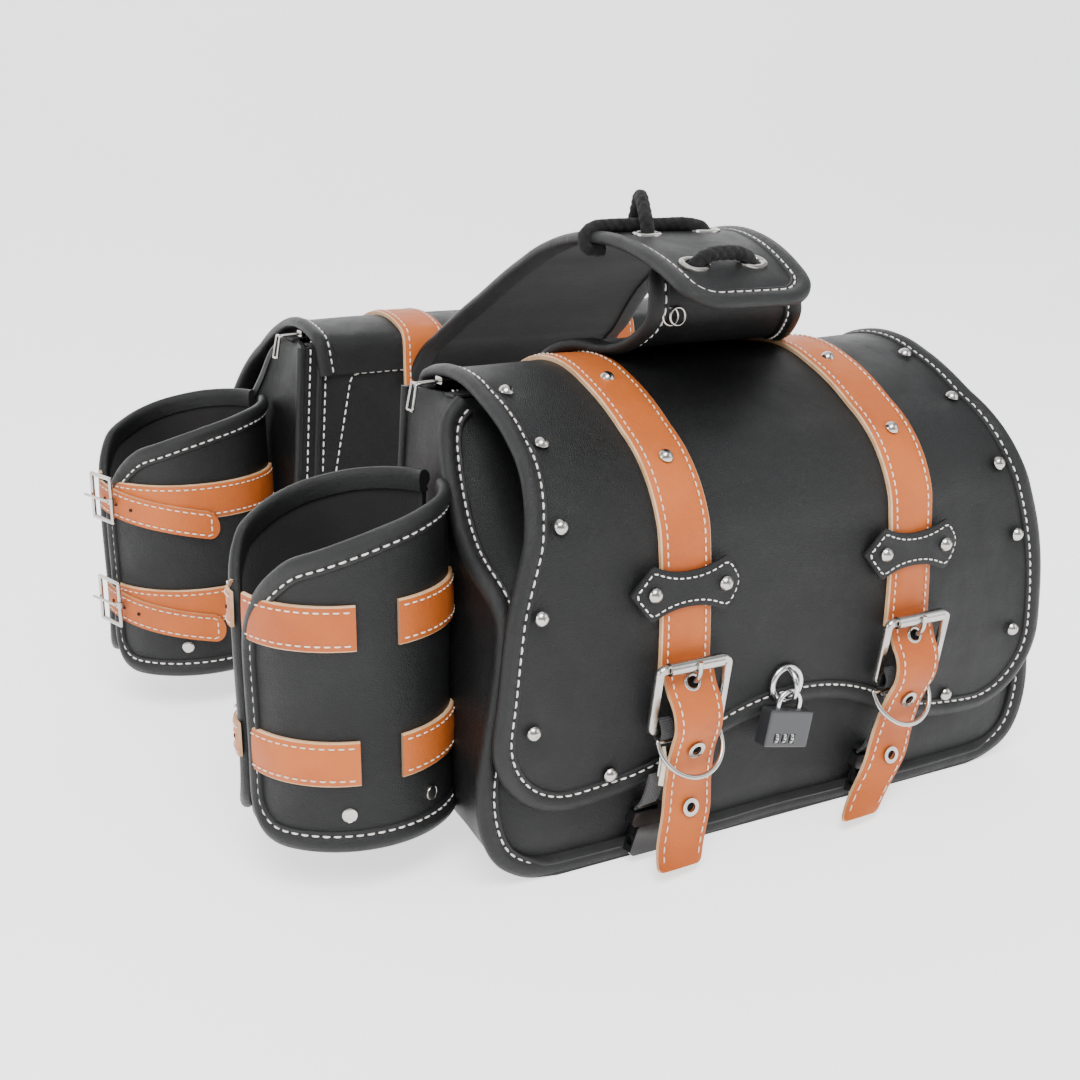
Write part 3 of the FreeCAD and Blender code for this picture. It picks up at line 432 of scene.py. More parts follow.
def surface(name, dark, light, rough, bumps, metal=0.0, drift=9.0, coat=0.0, sheen=0.0,
            worn=None, shine=0.5):
    """A procedural material: shades that drift, changing gloss, and bumps of several sizes."""
    material = bpy.data.materials.new(name)
    material.use_nodes = True
    tree = material.node_tree
    shader = tree.nodes["Principled BSDF"]
    coords = tree.nodes.new("ShaderNodeTexCoord")

    def texture(kind, scale, detail=3.0):
        node = tree.nodes.new(kind)
        tree.links.new(coords.outputs["Object"], node.inputs["Vector"])
        node.inputs["Scale"].default_value = scale
        if "Detail" in node.inputs:
            node.inputs["Detail"].default_value = detail
        return node

    def mixed(factor, first, second):
        node = tree.nodes.new("ShaderNodeMix")
        node.data_type = "RGBA"
        tree.links.new(factor, node.inputs["Factor"])
        for socket, value in ((node.inputs[6], first), (node.inputs[7], second)):
            if isinstance(value, tuple):
                socket.default_value = (*value, 1)
            else:
                tree.links.new(value, socket)
        return node.outputs[2]

    def ranged(source, low, high, to_low, to_high):
        node = tree.nodes.new("ShaderNodeMapRange")
        tree.links.new(source, node.inputs["Value"])
        for label, value in (("From Min", low), ("From Max", high),
                             ("To Min", to_low), ("To Max", to_high)):
            node.inputs[label].default_value = value
        return node.outputs["Result"]

    clouds = texture("ShaderNodeTexNoise", drift)
    colour = mixed(ranged(clouds.outputs["Fac"], 0.35, 0.65, 0, 1), dark, light)
    if worn:
        shade, scale, share = worn
        flecks = texture("ShaderNodeTexNoise", scale, 6)
        level = 1 - share
        colour = mixed(ranged(flecks.outputs["Fac"], level - 0.12, level + 0.1, 0, 0.8), colour, shade)
    tree.links.new(colour, shader.inputs["Base Color"])
    gloss = texture("ShaderNodeTexNoise", drift * 6, 4)
    tree.links.new(ranged(gloss.outputs["Fac"], 0.3, 0.7, *rough), shader.inputs["Roughness"])
    normal = None
    for kind, scale, depth in bumps:
        if kind == "noise":
            height = texture("ShaderNodeTexNoise", scale).outputs["Fac"]
        elif kind == "pebble":
            cells = texture("ShaderNodeTexVoronoi", scale, 1)
            cells.feature = "DISTANCE_TO_EDGE"
            height = ranged(cells.outputs["Distance"], 0, 0.22, 0, 1)
        else:
            bands = texture("ShaderNodeTexWave", scale, 0)
            bands.bands_direction = kind
            bands.inputs["Distortion"].default_value = 1.2
            height = bands.outputs["Fac"]
        bump = tree.nodes.new("ShaderNodeBump")
        bump.inputs["Distance"].default_value = depth
        tree.links.new(height, bump.inputs["Height"])
        if normal:
            tree.links.new(normal, bump.inputs["Normal"])
        normal = bump.outputs["Normal"]
    tree.links.new(normal, shader.inputs["Normal"])
    for label, value in (("Metallic", metal), ("Specular IOR Level", shine), ("Coat Weight", coat),
                         ("Coat Roughness", 0.25), ("Sheen Weight", sheen)):
        shader.inputs[label].default_value = value
    return material


BLACK = surface("black_leather", (0.0062, 0.0064, 0.0066), (0.0105, 0.0108, 0.011), (0.36, 0.5),
                (("noise", 26, 0.0014), ("noise", 170, 0.0003), ("pebble", 820, 0.00018)), shine=0.25)
BINDING = surface("leather_binding", (0.0075, 0.0077, 0.0078), (0.013, 0.0132, 0.0134), (0.34, 0.48),
                  (("noise", 60, 0.0008), ("noise", 260, 0.0003), ("pebble", 950, 0.00014)), shine=0.28,
                  worn=((0.03, 0.029, 0.028), 140, 0.22))
LINING = surface("felt_lining", (0.012, 0.0115, 0.012), (0.024, 0.0225, 0.022), (0.9, 1.0),
                 (("noise", 900, 0.0005), ("noise", 240, 0.00025)), sheen=0.1, shine=0.15)
TAN = surface("tan_leather", (0.385, 0.08, 0.011), (0.49, 0.114, 0.017), (0.4, 0.54),
              (("noise", 60, 0.0005), ("noise", 330, 0.00022), ("pebble", 1100, 0.0001)),
              drift=16, worn=((0.3, 0.07, 0.014), 70, 0.24), shine=0.32)
TAN_EDGE = surface("tan_edge", (0.5, 0.28, 0.13), (0.66, 0.42, 0.24), (0.6, 0.75),
                   (("noise", 900, 0.0004),), drift=60)
TAN_BACK = surface("tan_underside", (0.2, 0.1, 0.05), (0.3, 0.16, 0.085), (0.8, 0.95),
                   (("noise", 700, 0.0005),))
THREAD = surface("white_thread", (0.66, 0.64, 0.6), (0.82, 0.8, 0.76), (0.6, 0.75),
                 (("noise", 1500, 0.0002),), drift=90)
TAN_THREAD = surface("cream_thread", (0.66, 0.54, 0.42), (0.8, 0.7, 0.58), (0.6, 0.75),
                     (("noise", 1500, 0.0002),))
NICKEL = surface("nickel", (0.41, 0.395, 0.37), (0.52, 0.505, 0.475), (0.14, 0.26),
                 (("noise", 500, 0.000012), ("noise", 120, 0.00003)), metal=1.0, drift=60)
CHROME = surface("chrome", (0.5, 0.5, 0.5), (0.62, 0.62, 0.62), (0.08, 0.18),
                 (("noise", 300, 0.00001),), metal=1.0)
LOCK = surface("lock_black", (0.03, 0.031, 0.033), (0.042, 0.043, 0.046), (0.3, 0.4),
               (("noise", 2200, 0.00005),), metal=0.35, coat=0.25)
PLASTIC = surface("clip_plastic", (0.006, 0.006, 0.0065), (0.01, 0.01, 0.0108), (0.14, 0.26),
                  (("noise", 500, 0.00004), ("noise", 60, 0.0002)), coat=0.3)
DIAL = surface("dial_plastic", (0.012, 0.012, 0.012), (0.018, 0.018, 0.018), (0.35, 0.45),
               (("noise", 1500, 0.00008),))
DIGIT = surface("dial_paint", (0.72, 0.72, 0.7), (0.8, 0.8, 0.78), (0.5, 0.6), (("noise", 900, 0.00003),))
WEBBING = surface("webbing", (0.011, 0.011, 0.012), (0.022, 0.022, 0.023), (0.6, 0.8),
                  (("X", 260, 0.0004), ("Z", 330, 0.0005)), drift=80, sheen=0.2)
TAPE = surface("zip_tape", (0.01, 0.01, 0.0105), (0.018, 0.018, 0.019), (0.7, 0.85),
               (("X", 420, 0.0003), ("noise", 900, 0.0002)))
BOARD = surface("stiffener", (0.1, 0.075, 0.05), (0.15, 0.115, 0.08), (0.75, 0.9),
                (("noise", 500, 0.0004),))
CORD = surface("black_cord", (0.005, 0.005, 0.0055), (0.013, 0.0125, 0.0125), (0.8, 0.95),
               (("noise", 1300, 0.0008), ("noise", 420, 0.0005)), drift=140, sheen=0.08, shine=0.2)
CREAM = surface("cream_leather", (0.62, 0.53, 0.4), (0.74, 0.66, 0.53), (0.6, 0.75),
                (("noise", 500, 0.0004),), drift=50)
# painted shade: a near-black matte finish for the discs at the tongues' punched holes, standing for the black
# leather behind and the shade inside each hole
HOLE_SHADE = surface("eyelet_dark", (0.004, 0.004, 0.004), (0.007, 0.007, 0.007), (0.7, 0.9),
              (("noise", 900, 0.0001),), shine=0.1)
FLOOR = surface("studio_floor", (0.8, 0.8, 0.8), (0.82, 0.82, 0.82), (0.85, 0.95),
                (("noise", 300, 0.0002),), drift=2)

# a sheet's outside, inside and cut edge, and a strap section's face, cut edges and underside
HIDE = [BLACK, LINING, BLACK]
LOOSE = [TAN, TAN_BACK, TAN_EDGE]
SEWN = [TAN, TAN_EDGE, TAN_BACK]
LEATHER = 3.0
TAN_ROW = {"pitch": 5.2, "long": 3.6, "wide": 1.05, "proud": 0.2}

for node, material in (
        ("back_board", BOARD), ("studs", NICKEL), ("holder_base", BLACK), ("holder_buckles", NICKEL),
        ("holder_prongs", NICKEL), ("buckle_rollers", NICKEL), ("d_rings", NICKEL),
        ("lock_hasp", CHROME), ("lock_case", LOCK), ("lock_shackle", CHROME), ("lock_dial_1", DIAL),
        ("lock_dial_2", DIAL), ("lock_dial_3", DIAL), ("clip_sockets", PLASTIC), ("clip_plugs", PLASTIC),
        ("zip_slider", NICKEL)):
    for side in SIDES:
        item = NODES[side + "_" + node]
        item.data.materials.clear()
        item.data.materials.append(material)


# ---------------------------------------------------------------- who moves with what

def placed(item, body, slot, *nodes):
    """The piece moves with a body, and stands for CAD nodes."""
    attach(item, body)
    if nodes:
        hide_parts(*nodes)


def on_bag(side, item, slot, *nodes):
    """The piece moves with the bag."""
    placed(item, side + "_bag", slot, *[side + "_" + node for node in nodes])


def on_flap(side, item, slot, *nodes):
    """The piece moves with the flap."""
    placed(item, side + "_flap", slot, *[side + "_" + node for node in nodes])


def over_hinge(side, item, slot, *nodes):
    """The piece lies between the bag and the flap at the bag's top back edge; its placement is baked into its
    mesh.
    """
    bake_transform(item)
    if nodes:
        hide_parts(*[side + "_" + node for node in nodes])


# ---------------------------------------------------------------- the shapes

# The collapse, the flap and the tongue are side lines, as (out from the bag's back, up). The flap's
# edges are (along, up), its studs (along, out, up), and the holder's middle is (along, out). The
# yoke's panels are side lines in the frame's own (Y, up), and its lace holes (along, up, Y).
MOUTH = 265
COLLAPSE = [(154, 158), (148, 170), (126, 186), (103, 200), (86, 215), (74, 229), (64, 244)]
FLAP = [(0, 271), (40, 279.5), (77.5, 271.5), (101, 261.3), (122, 249), (149, 228),
        (163.5, 200), (166.5, 150), (159, 44)]
TONGUE = [(173.4, 134), (173.8, 121), (178.5, 108), (185.8, 96), (185.2, 83), (180, 70),
          (177.5, 58), (177.5, 30), (187, 3.5)]
FLAP_LOW = [(0, 80.5), (75, 60), (105, 49.5), (145, 45), (187, 57), (203, 100)]
FLAP_SIDE = [(203, 100), (195, 163), (180, 211), (170, 248)]
FLAP_STUDS = [(151.6, 77.5, 270), (153.2, 122, 247.7), (161.7, 161.5, 211.5), (177, 166, 162.8),
              (181.4, 163, 96.9), (129.2, 158, 59.5)]
NEAR_PANEL = [(-91.3, 222), (-86.5, 250), (-88, 270), (-98, 281), (-130, 286.5), (-160, 294),
              (-179, 306), (-183, 320), (-171, 335)]
FAR_PANEL = [(88.4, 224), (84, 245), (62, 266), (-4, 305), (-61, 331), (-122, 350), (-163, 352),
             (-212, 342), (-252, 322)]
LACE_HOLES = [(-58, 334, -218), (-18, 334, -218), (-52, 351, -163), (-10, 351, -163)]
HOLDER = (-251, 65)
HOLDER_R = 61


LEVELS = MOUTH * np.linspace(0, 1, 76) ** 1.7
SEAM_SIDE = spline([(160, 0), (178, 3.5), (198, 16), (207, 34), (210, 60), (205, 91), (198, 130), (196, 165),
                    (203, 186), (201, 212), (193, 244), (189, 252), (181, 259), (169, 263.5),
                    (158, MOUTH)], 1)
FRONT_LINE = flat(np.interp(LEVELS, SEAM_SIDE[:, 1], SEAM_SIDE[:, 0]), LEVELS)
BACK_SIDE = np.array(arc((150, 0), (177, 12), (189, 50), 26) + arc((189, 50), (192, 130), (187, 165), 20)[1:]
                     + [(187 - 1000 / 135 * t, 165 + 100 * t) for t in np.linspace(0, 1, 22)[1:]])
BACK_LINE = flat(np.interp(LEVELS, BACK_SIDE[:, 1], BACK_SIDE[:, 0]), LEVELS)
COLLAPSE_LINE = smooth(arcs(COLLAPSE) + [(57, MOUTH)], 2, 6)


def depth_at(up):
    """How far out the front panel stands at a height."""
    return np.interp(up, COLLAPSE_LINE[:, 1], COLLAPSE_LINE[:, 0], left=DEPTH)


def half_at(up, out):
    """Half the bag's length at a height and depth."""
    back = np.interp(up, BACK_LINE[:, 1], BACK_LINE[:, 0])
    front = np.interp(up, FRONT_LINE[:, 1], FRONT_LINE[:, 0])
    return back + (front - back) * out / DEPTH


# a rolled edge seven wide, the groove its stitches lie in, and a low ridge; the edge is at zero
BOUND = [(-2.4, -1.4), (-2.0, -3.2), (-0.4, -4.3), (3, -4.8), (10.4, -4.6), (10.9, -3.0), (10.9, 0.2),
         (10.3, 1.1), (9.4, 1.35), (8.6, 1.0), (7.9, 0.5), (7.2, 0.8), (6.2, 1.9), (4.2, 2.9), (1.8, 2.9),
         (-0.6, 2.0), (-2.0, 0.5)]
SEW = 7.9


def base_line(line, half):
    """A side line from the mouth down, under the bag, and up the other side."""
    under = np.linspace(half, -half, 60)[1:-1]
    return np.concatenate([line[::-1], flat(under, 0 * under), line * (-1, 1)])


def gusset(side):
    """The bag's gusset, sunk and creased between its two seams."""
    place = bag_place(SIDES[side])
    front = base_line(FRONT_LINE, 160)
    back = base_line(BACK_LINE, 150)
    share = np.linspace(0, 1, 33)
    limit = depth_at(front[:, 1]) / DEPTH
    w = share[None] * limit[:, None]
    x = back[:, None, 0] + (front - back)[:, None, 0] * w
    z = back[:, None, 1] + (front - back)[:, None, 1] * w
    belly = np.sin(PI * share)[None]
    upright = np.clip(z / 60, 0, 1)
    sink = belly * upright * (3.2 + 1.6 * np.sin(z / 21 + 1) * np.sin(w * 7))
    x = x - np.sign(x) * sink
    arch = belly * (1 - upright) * (1.0 + 0.6 * np.sin(x / 37)) * (np.abs(x) < 160)
    z = z + np.clip(arch, 0, None)
    crease = 0.9 * np.sin(w * 19 + z / 17) * belly * upright
    outer = place(x - np.sign(x) * crease, w * DEPTH, z)
    inner = place(x - np.sign(x) * (crease + LEATHER) * (z > 2), w * DEPTH, np.where(z < 3, z + LEATHER, z))
    on_bag(side, thick(side + "_gusset", outer, inner, HIDE), "black_leather", "body_shell")


def front_panel(side):
    """The front, fallen in under the flap, with a rolled edge, a stitched groove and a dark step."""
    fall = [(57, MOUTH)] + list(COLLAPSE_LINE[::-1][1:])
    fall += [(154, up) for up in range(150, 8, -6)] + [(153, 4), (151, 0.8)]
    panel = Sheet(smooth(fall, 1, 5), bag_place(SIDES[side]), 0.5)
    s = panel.long * (1 - np.cos(np.linspace(0, PI, 110))) / 2
    up = np.interp(s, panel.run, panel.line[:, 1])
    out = np.interp(s, panel.run, panel.line[:, 0])
    half = half_at(up, out) - 1
    u = np.linspace(-1, 1, 80)
    seam, rise = 10, 22
    near_edge = np.clip((half[:, None] * (1 - np.abs(u[None])) - seam) / rise, 0, 1)
    near_end = np.clip(np.minimum(s - 9, panel.long - s - 9) / rise, 0, 1)[:, None]
    puff = 5.2 * np.sin(near_edge * PI / 2) * np.sin(near_end * PI / 2) - 2.0
    grid_x = half[:, None] * u[None]
    grid_s = s[:, None] + 0 * grid_x
    on_bag(side, layer(side + "_front_panel", panel, grid_x, grid_s, puff, puff - LEATHER, HIDE),
           "black_leather")
    edge = smooth(np.concatenate([flat(half, s), flat(-half, s)[::-1]]), 2, 6)
    bound = [(-1.5, -4), (-2.4, 0), (-1.6, 2.6), (0.8, 4.2), (4, 4.3), (6.2, 3.2), (7.2, 2.2), (7.9, 1.9),
             (8.6, 2.3), (9.6, 2.8), (10.6, 2.5), (11.2, 1.2), (11.2, -4)]
    band = sweep(side + "_front_seam", stations(panel, edge, -1.2), bound, BINDING)
    on_bag(side, band, "black_leather", "body_piping")
    on_bag(side, stitches(side + "_seam_stitches", [(panel, inset(edge, SEW), 0.9)], THREAD), "black_leather")


def back_panel(side):
    """The back with its two piped edges, its stitches and the line of its pocket."""
    face = 0.6
    wall = Sheet([(0, 0.5), (0, MOUTH)], bag_place(SIDES[side]), 0.35)
    s = np.linspace(0, wall.long, 70)
    half = np.interp(s + 0.5, BACK_LINE[:, 1], BACK_LINE[:, 0])
    grid_x = half[:, None] * np.linspace(-1, 1, 70)[None]
    grid_s = s[:, None] + 0 * grid_x
    on_bag(side, layer(side + "_back_panel", wall, grid_x, grid_s, face, face - LEATHER, HIDE),
           "black_leather")
    edge = smooth(np.concatenate([flat(-half, s)[::-1], flat(half, s)]), 2, 7)
    outer_rope = sweep(side + "_back_piping", stations(wall, edge), ring(3.0, 12), BINDING)
    inner_rope = sweep(side + "_back_rope", stations(wall, inset(edge, 14), 0.4), ring(2.2, 10), BINDING)
    on_bag(side, joined(side + "_back_seam", [outer_rope, inner_rope]), "black_leather")
    pocket = smooth([(-160, 60), (-160, 157), (-142, 243), (142, 243), (160, 157), (160, 60)], 2, 5)
    rows_of = [(wall, line, face) for line in (inset(edge, 7), inset(edge, 19), pocket)]
    on_bag(side, stitches(side + "_back_stitches", rows_of, THREAD), "black_leather")


BLOCK = ((0, 1, 2, 3), (4, 5, 6, 7), (0, 1, 5, 4), (1, 2, 6, 5), (2, 3, 7, 6), (3, 0, 4, 7))


def add_block(verts, faces, corners):
    """Adds a small block: the four corners of one face, then the four across from them."""
    base = len(verts)
    verts.extend(corners)
    faces.extend(tuple(base + k for k in quad) for quad in BLOCK)


def zipper(side):
    """The zip's tapes and teeth along the mouth."""
    place = bag_place(SIDES[side])
    count = 60
    along = np.linspace(-172, 172, count)
    directions = [np.tile((place(0, *way) - place(0, 0, 0)) / MM, (count, 1)) for way in ((1, 0), (0, 1))]
    tapes = []
    for number, (low, high) in enumerate(((2, 14), (40, 52))):
        section = [(low, 264.6), (low, 266.2), (high, 266.4), (high, 264.8)]
        tapes.append(sweep("tape%d" % number, (place(along, 0, 0), *directions), section, TAPE))
    on_bag(side, joined(side + "_zip_tapes", tapes), "zip_fabric", "zip_tape")
    verts, faces = [], []
    for edge, way in ((14, 1), (40, -1)):
        for tooth in np.arange(-166, 167, 3.0):
            add_block(verts, faces, [place(tooth + x, edge + way * (out - 1.0), up) for up in (264.8, 267.2)
                                     for x, out in ((-0.8, 0), (0.8, 0), (0.8, 2.6), (-0.8, 2.6))])
    on_bag(side, make(side + "_zip_teeth", verts, faces, NICKEL), "nickel")


def zip_pull(side):
    """The zip's slider with its open rectangular pull hanging over the end."""
    low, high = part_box(side + "_zip_slider")
    out = (low.y + high.y) / 2
    body_x, top = high.x - 0.006, high.z
    wedge = [(-4.6, -3.2), (-4.6, -0.6), (-3.4, 0.7), (3.4, 0.7), (4.6, -0.6), (4.6, -3.2), (3.2, -3.8),
             (-3.2, -3.8)]
    line = [(body_x + x, out, top) for x in (-0.0065, -0.002, 0.006)]
    items = [sweep("slider_top", carried(line), wedge, NICKEL)]
    bow = [(body_x + 0.004 * math.cos(t), out, top + 0.0005 + 0.0026 * math.sin(t))
           for t in np.linspace(0, PI, 12)]
    items.append(tube("slider_bow", bow, 0.8, NICKEL, 8))
    link = [(-1, 1.6), (-1, -1.6), (-21.5, -2.2), (-21.5, 2.2)]
    link = [(body_x + x * MM, out + y * MM, top + 0.0016 + x * 0.00005) for x, y in link]
    hang = [(0, 3.4), (0, -3.4), (-16, -4.2), (-16, 4.2)]
    hang = [(body_x - 0.0225 + z * 0.0002, out + y * MM, top + 0.001 + z * MM) for z, y in hang]
    for name, loop, radius in (("slider_link", link, 0.8), ("slider_loop", hang, 1.0)):
        loop = eased(spaced(loop + loop[:1], 1 * MM)[:-1], 1, True)
        items.append(tube(name, loop, radius, NICKEL, 8, True))
    placed(joined(side + "_zip_pull", items), side + "_zip", "nickel", side + "_zip_slider")


# the strokes of a number: top, middle, bottom, upper left and right, lower left and right,
# each as (x, y, half its width, half its height), and which of them make the numbers 0 to 9
STROKES = [(0, 1, 0.8, 0.16), (0, 0, 0.8, 0.16), (0, -1, 0.8, 0.16), (-0.65, 0.5, 0.16, 0.5),
           (0.65, 0.5, 0.16, 0.5), (-0.65, -0.5, 0.16, 0.5), (0.65, -0.5, 0.16, 0.5)]
DIGITS = ("1110111", "0000101", "1110110", "1110101", "0101101", "1111001", "1111011", "1000101",
          "1111111", "1111101")
DIGIT_WIDE, DIGIT_TALL = 0.00105, 0.00095


def dial_digits(side):
    """The numbers round each dial of the padlock, as short painted strokes."""
    tilt = math.radians(12)
    across = np.array((math.cos(tilt), 0, -math.sin(tilt)))
    upward = np.array((math.sin(tilt), 0, math.cos(tilt)))
    outward = np.array((0, SIDES[side], 0))
    for dial in (1, 2, 3):
        low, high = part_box("%s_lock_dial_%d" % (side, dial))
        middle = np.array((low + high) / 2)
        radius = (high.y - low.y) / 2 + 0.00012

        def spot(x, angle, reach):
            return middle + across * x * DIGIT_WIDE + outward * reach * math.cos(angle) \
                + upward * reach * math.sin(angle)

        verts, faces = [], []
        for number, shape in enumerate(DIGITS):
            turn = (number - 4) * PI / 5
            for on, (x, y, wide, tall) in zip(shape, STROKES):
                if on == "1":
                    places = [(x + a * wide, turn + (y + b * tall) * DIGIT_TALL / radius)
                              for a, b in ((-1, -1), (1, -1), (1, 1), (-1, 1))]
                    add_block(verts, faces, [spot(*place, reach) for reach in (radius - 0.0003, radius)
                                             for place in places])
        item = make("%s_digits_%d" % (side, dial), verts, faces, DIGIT)
        placed(item, "%s_dial_%d" % (side, dial), "dial_plastic")


def strip(wide, thin):
    """A flat strip's section."""
    return [(-wide, -thin), (-wide, thin), (wide, thin), (wide, -thin)]


def clip_webbing(side):
    """The webbing between each clip's plug and the buckle's loop, with a wire link and a small tab."""
    place = bag_place(SIDES[side])
    bands, links, tabs = [], [], []
    for way in (-1, 1):
        x = way * STRAP_X
        line = spline([(x - 22, 161, 33), (x - 21.5, 166.8, 40), (x - 20, 169.8, 50), (x - 19, 171.2, 58)], 1)
        bands.append(sweep("web%d" % way, carried(place(*line.T)), strip(6, 0.7), WEBBING))
        rod = spline([(x - 20.5, 174.2, 58), (x - 19.5, 174.6, 68), (x - 18.5, 173.4, 76)], 1)
        links.append(tube("rod%d" % way, place(*rod.T), 0.7, NICKEL, 8))
        tag = spline([(x - 17, 173.4, 75), (x - 17.4, 175.4, 66), (x - 18.2, 174.6, 56),
                      (x - 19.5, 175.6, 52)], 1)
        tabs.append(sweep("tab%d" % way, carried(place(*tag.T)), strip(1.5, 0.4), CREAM))
    placed(joined(side + "_clip_webbing", bands), side + "_plug", "clip_plastic")
    on_flap(side, joined(side + "_clip_links", links), "nickel")
    on_flap(side, joined(side + "_clip_tabs", tabs), "tan_leather")


def flap_sheet(side):
    """The flap's bent sheet, from its seam on the bag's back to its scalloped edge."""
    line = [(-3, 244), (-3, 262), (-1.8, 267.5)] + arcs(FLAP) + [(158.6, 38)]
    sheet = Sheet(smooth(line, 1, 7), bag_place(SIDES[side]), 0.55)
    sheet.dimples = [(way * x, sheet.find(out, up)) for x, out, up in FLAP_STUDS for way in (-1, 1)]
    return sheet


def on_front(sheet, up):
    """The distance along the flap of a height on its front."""
    front = sheet.line[:, 0] > 110
    return np.interp(-np.asarray(up, float), -sheet.line[front, 1], sheet.run[front])


def flap_outline(sheet):
    """The flap's side and lower edges: left side, bottom, right side."""
    side_line = [(165, 0), (168.3, sheet.find(0, 271)), (168.6, sheet.find(77.5, 271.5))]
    side_line += [(x, float(on_front(sheet, up))) for x, up in FLAP_SIDE[::-1]]
    side_line = spline(side_line, 2)
    middle, end = FLAP_LOW[:2]
    low = arc((-end[0], end[1]), middle, end, 60)[30:]
    low += arc(*FLAP_LOW[1:4], 30)[1:] + arc(*FLAP_LOW[3:6], 40)[1:]
    low = np.array([(x, float(on_front(sheet, up))) for x, up in low])
    low = np.concatenate([low[::-1] * (-1, 1), low[1:]])
    return side_line * (-1, 1), low, side_line


def flap(side):
    """The flap with its rolled binding and stitches."""
    sheet = flap_sheet(side)
    left, low, right = flap_outline(sheet)
    grid = coons([(-165, 0), (165, 0)], low, left, right, 110, 120)
    leather = layer(side + "_flap_leather", sheet, grid[..., 0], grid[..., 1], 0, -LEATHER, HIDE)
    over_hinge(side, leather, "black_leather", "flap")
    edge = smooth(np.concatenate([left, low[1:], right[::-1][1:]])[::-1], 2, 5)
    over_hinge(side, sweep(side + "_flap_binding", stations(sheet, edge), BOUND, BINDING), "black_leather",
               "flap_piping")
    rows_of = [(sheet, inset(edge, SEW), 0.7)]
    over_hinge(side, stitches(side + "_flap_stitches", rows_of, THREAD), "black_leather")
    return sheet


def strap_section(half, low, high):
    """A strap's section: a slightly crowned face with cut edges. Edge sides are marked 1."""
    crown = high + 0.35
    section = [(-half, low), (-half, high - 0.7), (-half + 0.8, high), (-half * 0.5, crown - 0.08),
               (0, crown), (half * 0.5, crown - 0.08), (half - 0.8, high), (half, high - 0.7), (half, low)]
    return section, [1, 1, 0, 0, 0, 0, 1, 1, 2]


def straps(side, sheet):
    """The two long straps over the flap, sewn and riveted on the back."""
    bands, rows_of, rivets = [], [], []
    start, end = -19, float(on_front(sheet, 118))
    section, marks = strap_section(STRAP_HALF, 0.1, 3.1)
    for way in (-1, 1):
        x = way * STRAP_X
        path = flat(np.full(200, x), np.linspace(start, end, 200))
        bands.append(sweep("band%d" % way, stations(sheet, path), section, SEWN, marks))
        for shift in (-STRAP_SEW, STRAP_SEW):
            rows_of.append((sheet, [(x + shift, start + 2), (x + shift, end - 4)], 3.25))
        rows_of.append((sheet, [(x - 12, start + 3.5), (x + 12, start + 3.5)], 3.4))
        rivets.append(dome("rivet", sheet, x, -6, 3.3, RIVET))
    over_hinge(side, joined(side + "_straps", bands), "tan_leather", "flap_straps")
    over_hinge(side, stitches(side + "_strap_stitches", rows_of, TAN_THREAD, **TAN_ROW), "tan_leather")
    on_bag(side, joined(side + "_strap_rivets", rivets), "nickel")


def dome(name, sheet, x, s, h, radius, tall=2.6, material=NICKEL):
    """A domed stud head on a sheet."""
    sides = 20
    turn = around(sides)
    rows = [(1.0, -0.6), (1.0, 0.25), (0.94, 0.6)]
    rows += [(math.cos(t), tall * math.sin(t)) for t in np.linspace(0.45, 1.5, 7)]
    verts = np.concatenate([sheet.at(x + radius * r * np.cos(turn), s + radius * r * np.sin(turn), h + z)
                            for r, z in rows])
    faces = grid_faces(len(rows), sides, wrap=True) + ends(sides, len(verts) - sides)
    return make(name, verts, faces, material)


class KeeperFace:
    """The face of a keeper, which falls away at its pointed ends."""

    def __init__(self, sheet, middle):
        self.sheet, self.middle = sheet, middle

    def at(self, x, s, h=0.0):
        """Places in the frame for flat places and heights above the face."""
        drop = 4.0 * np.clip((np.abs(x - self.middle) - 29) / 8.5, 0, 1) ** 1.5
        return self.sheet.at(x, s, h - drop)


def keepers(side):
    """The waisted leather keepers over the straps."""
    plain = Sheet([(172.8, 260), (172.8, 60)], bag_place(SIDES[side]))
    level, half_long, sew = 260 - 167, 37.5, 3.6
    x = half_long * np.linspace(-1, 1, 70)
    v = np.linspace(-1, 1, 26)
    waist = 10.4 + 6.6 * np.clip(np.abs(x) / 25.5, 0, 1) ** 2.2
    point = 17 * np.clip((half_long - np.abs(x)) / 12, 0, 1) ** 0.9
    tall = eased(np.maximum(np.minimum(waist, point), 0.6)[:, None], 3)[:, 0]
    rim = [(a, b - sew) for a, b in zip(x, tall) if b > sew + 0.3]
    rim += [(a, -b) for a, b in rim[::-1]] + rim[:1]
    items, rows_of = [], []
    for way in (-1, 1):
        middle = way * STRAP_X
        face = KeeperFace(plain, middle)
        gx = np.repeat((middle + x)[:, None], len(v), 1)
        gs = level + tall[:, None] * v[None]
        items.append(layer("keeper%d" % way, face, gx, gs, -0.9 * np.abs(v)[None] ** 6, -2.5,
                           [BLACK, BLACK, BINDING]))
        rows_of.append((face, smooth([(middle + a, level - b) for a, b in rim], 1, 2), 0.0))
    on_flap(side, joined(side + "_keepers", items), "black_leather", "strap_keepers")
    on_flap(side, stitches(side + "_keeper_stitches", rows_of, THREAD, 4.4, 3.0, 1.0, 0.1), "black_leather")


def drift(way, up):
    """How far a tongue has wandered along the bag at a height."""
    def below(level):
        return np.logaddexp(0, (level - np.asarray(up, float)) / 4) * 4
    return -0.6 * below(30) if way < 0 else -0.2 * below(108) - 1.1 * below(30)


class Tongue(Sheet):
    """A strap's tongue: flat places are measured from its own wandering middle line."""

    def __init__(self, line, place, hand):
        Sheet.__init__(self, line, place)
        self.hand = hand

    def at(self, x, s, h=0.0):
        """Places in the frame for flat places and heights above the face."""
        up = np.interp(s, self.run, self.line[:, 1])
        curl = (7.5 - 0.22 * x) * np.clip((s - self.long + 32) / 32, 0, 1) ** 2.3
        return Sheet.at(self, self.hand * STRAP_X + drift(self.hand, up) + x, s, h + curl)


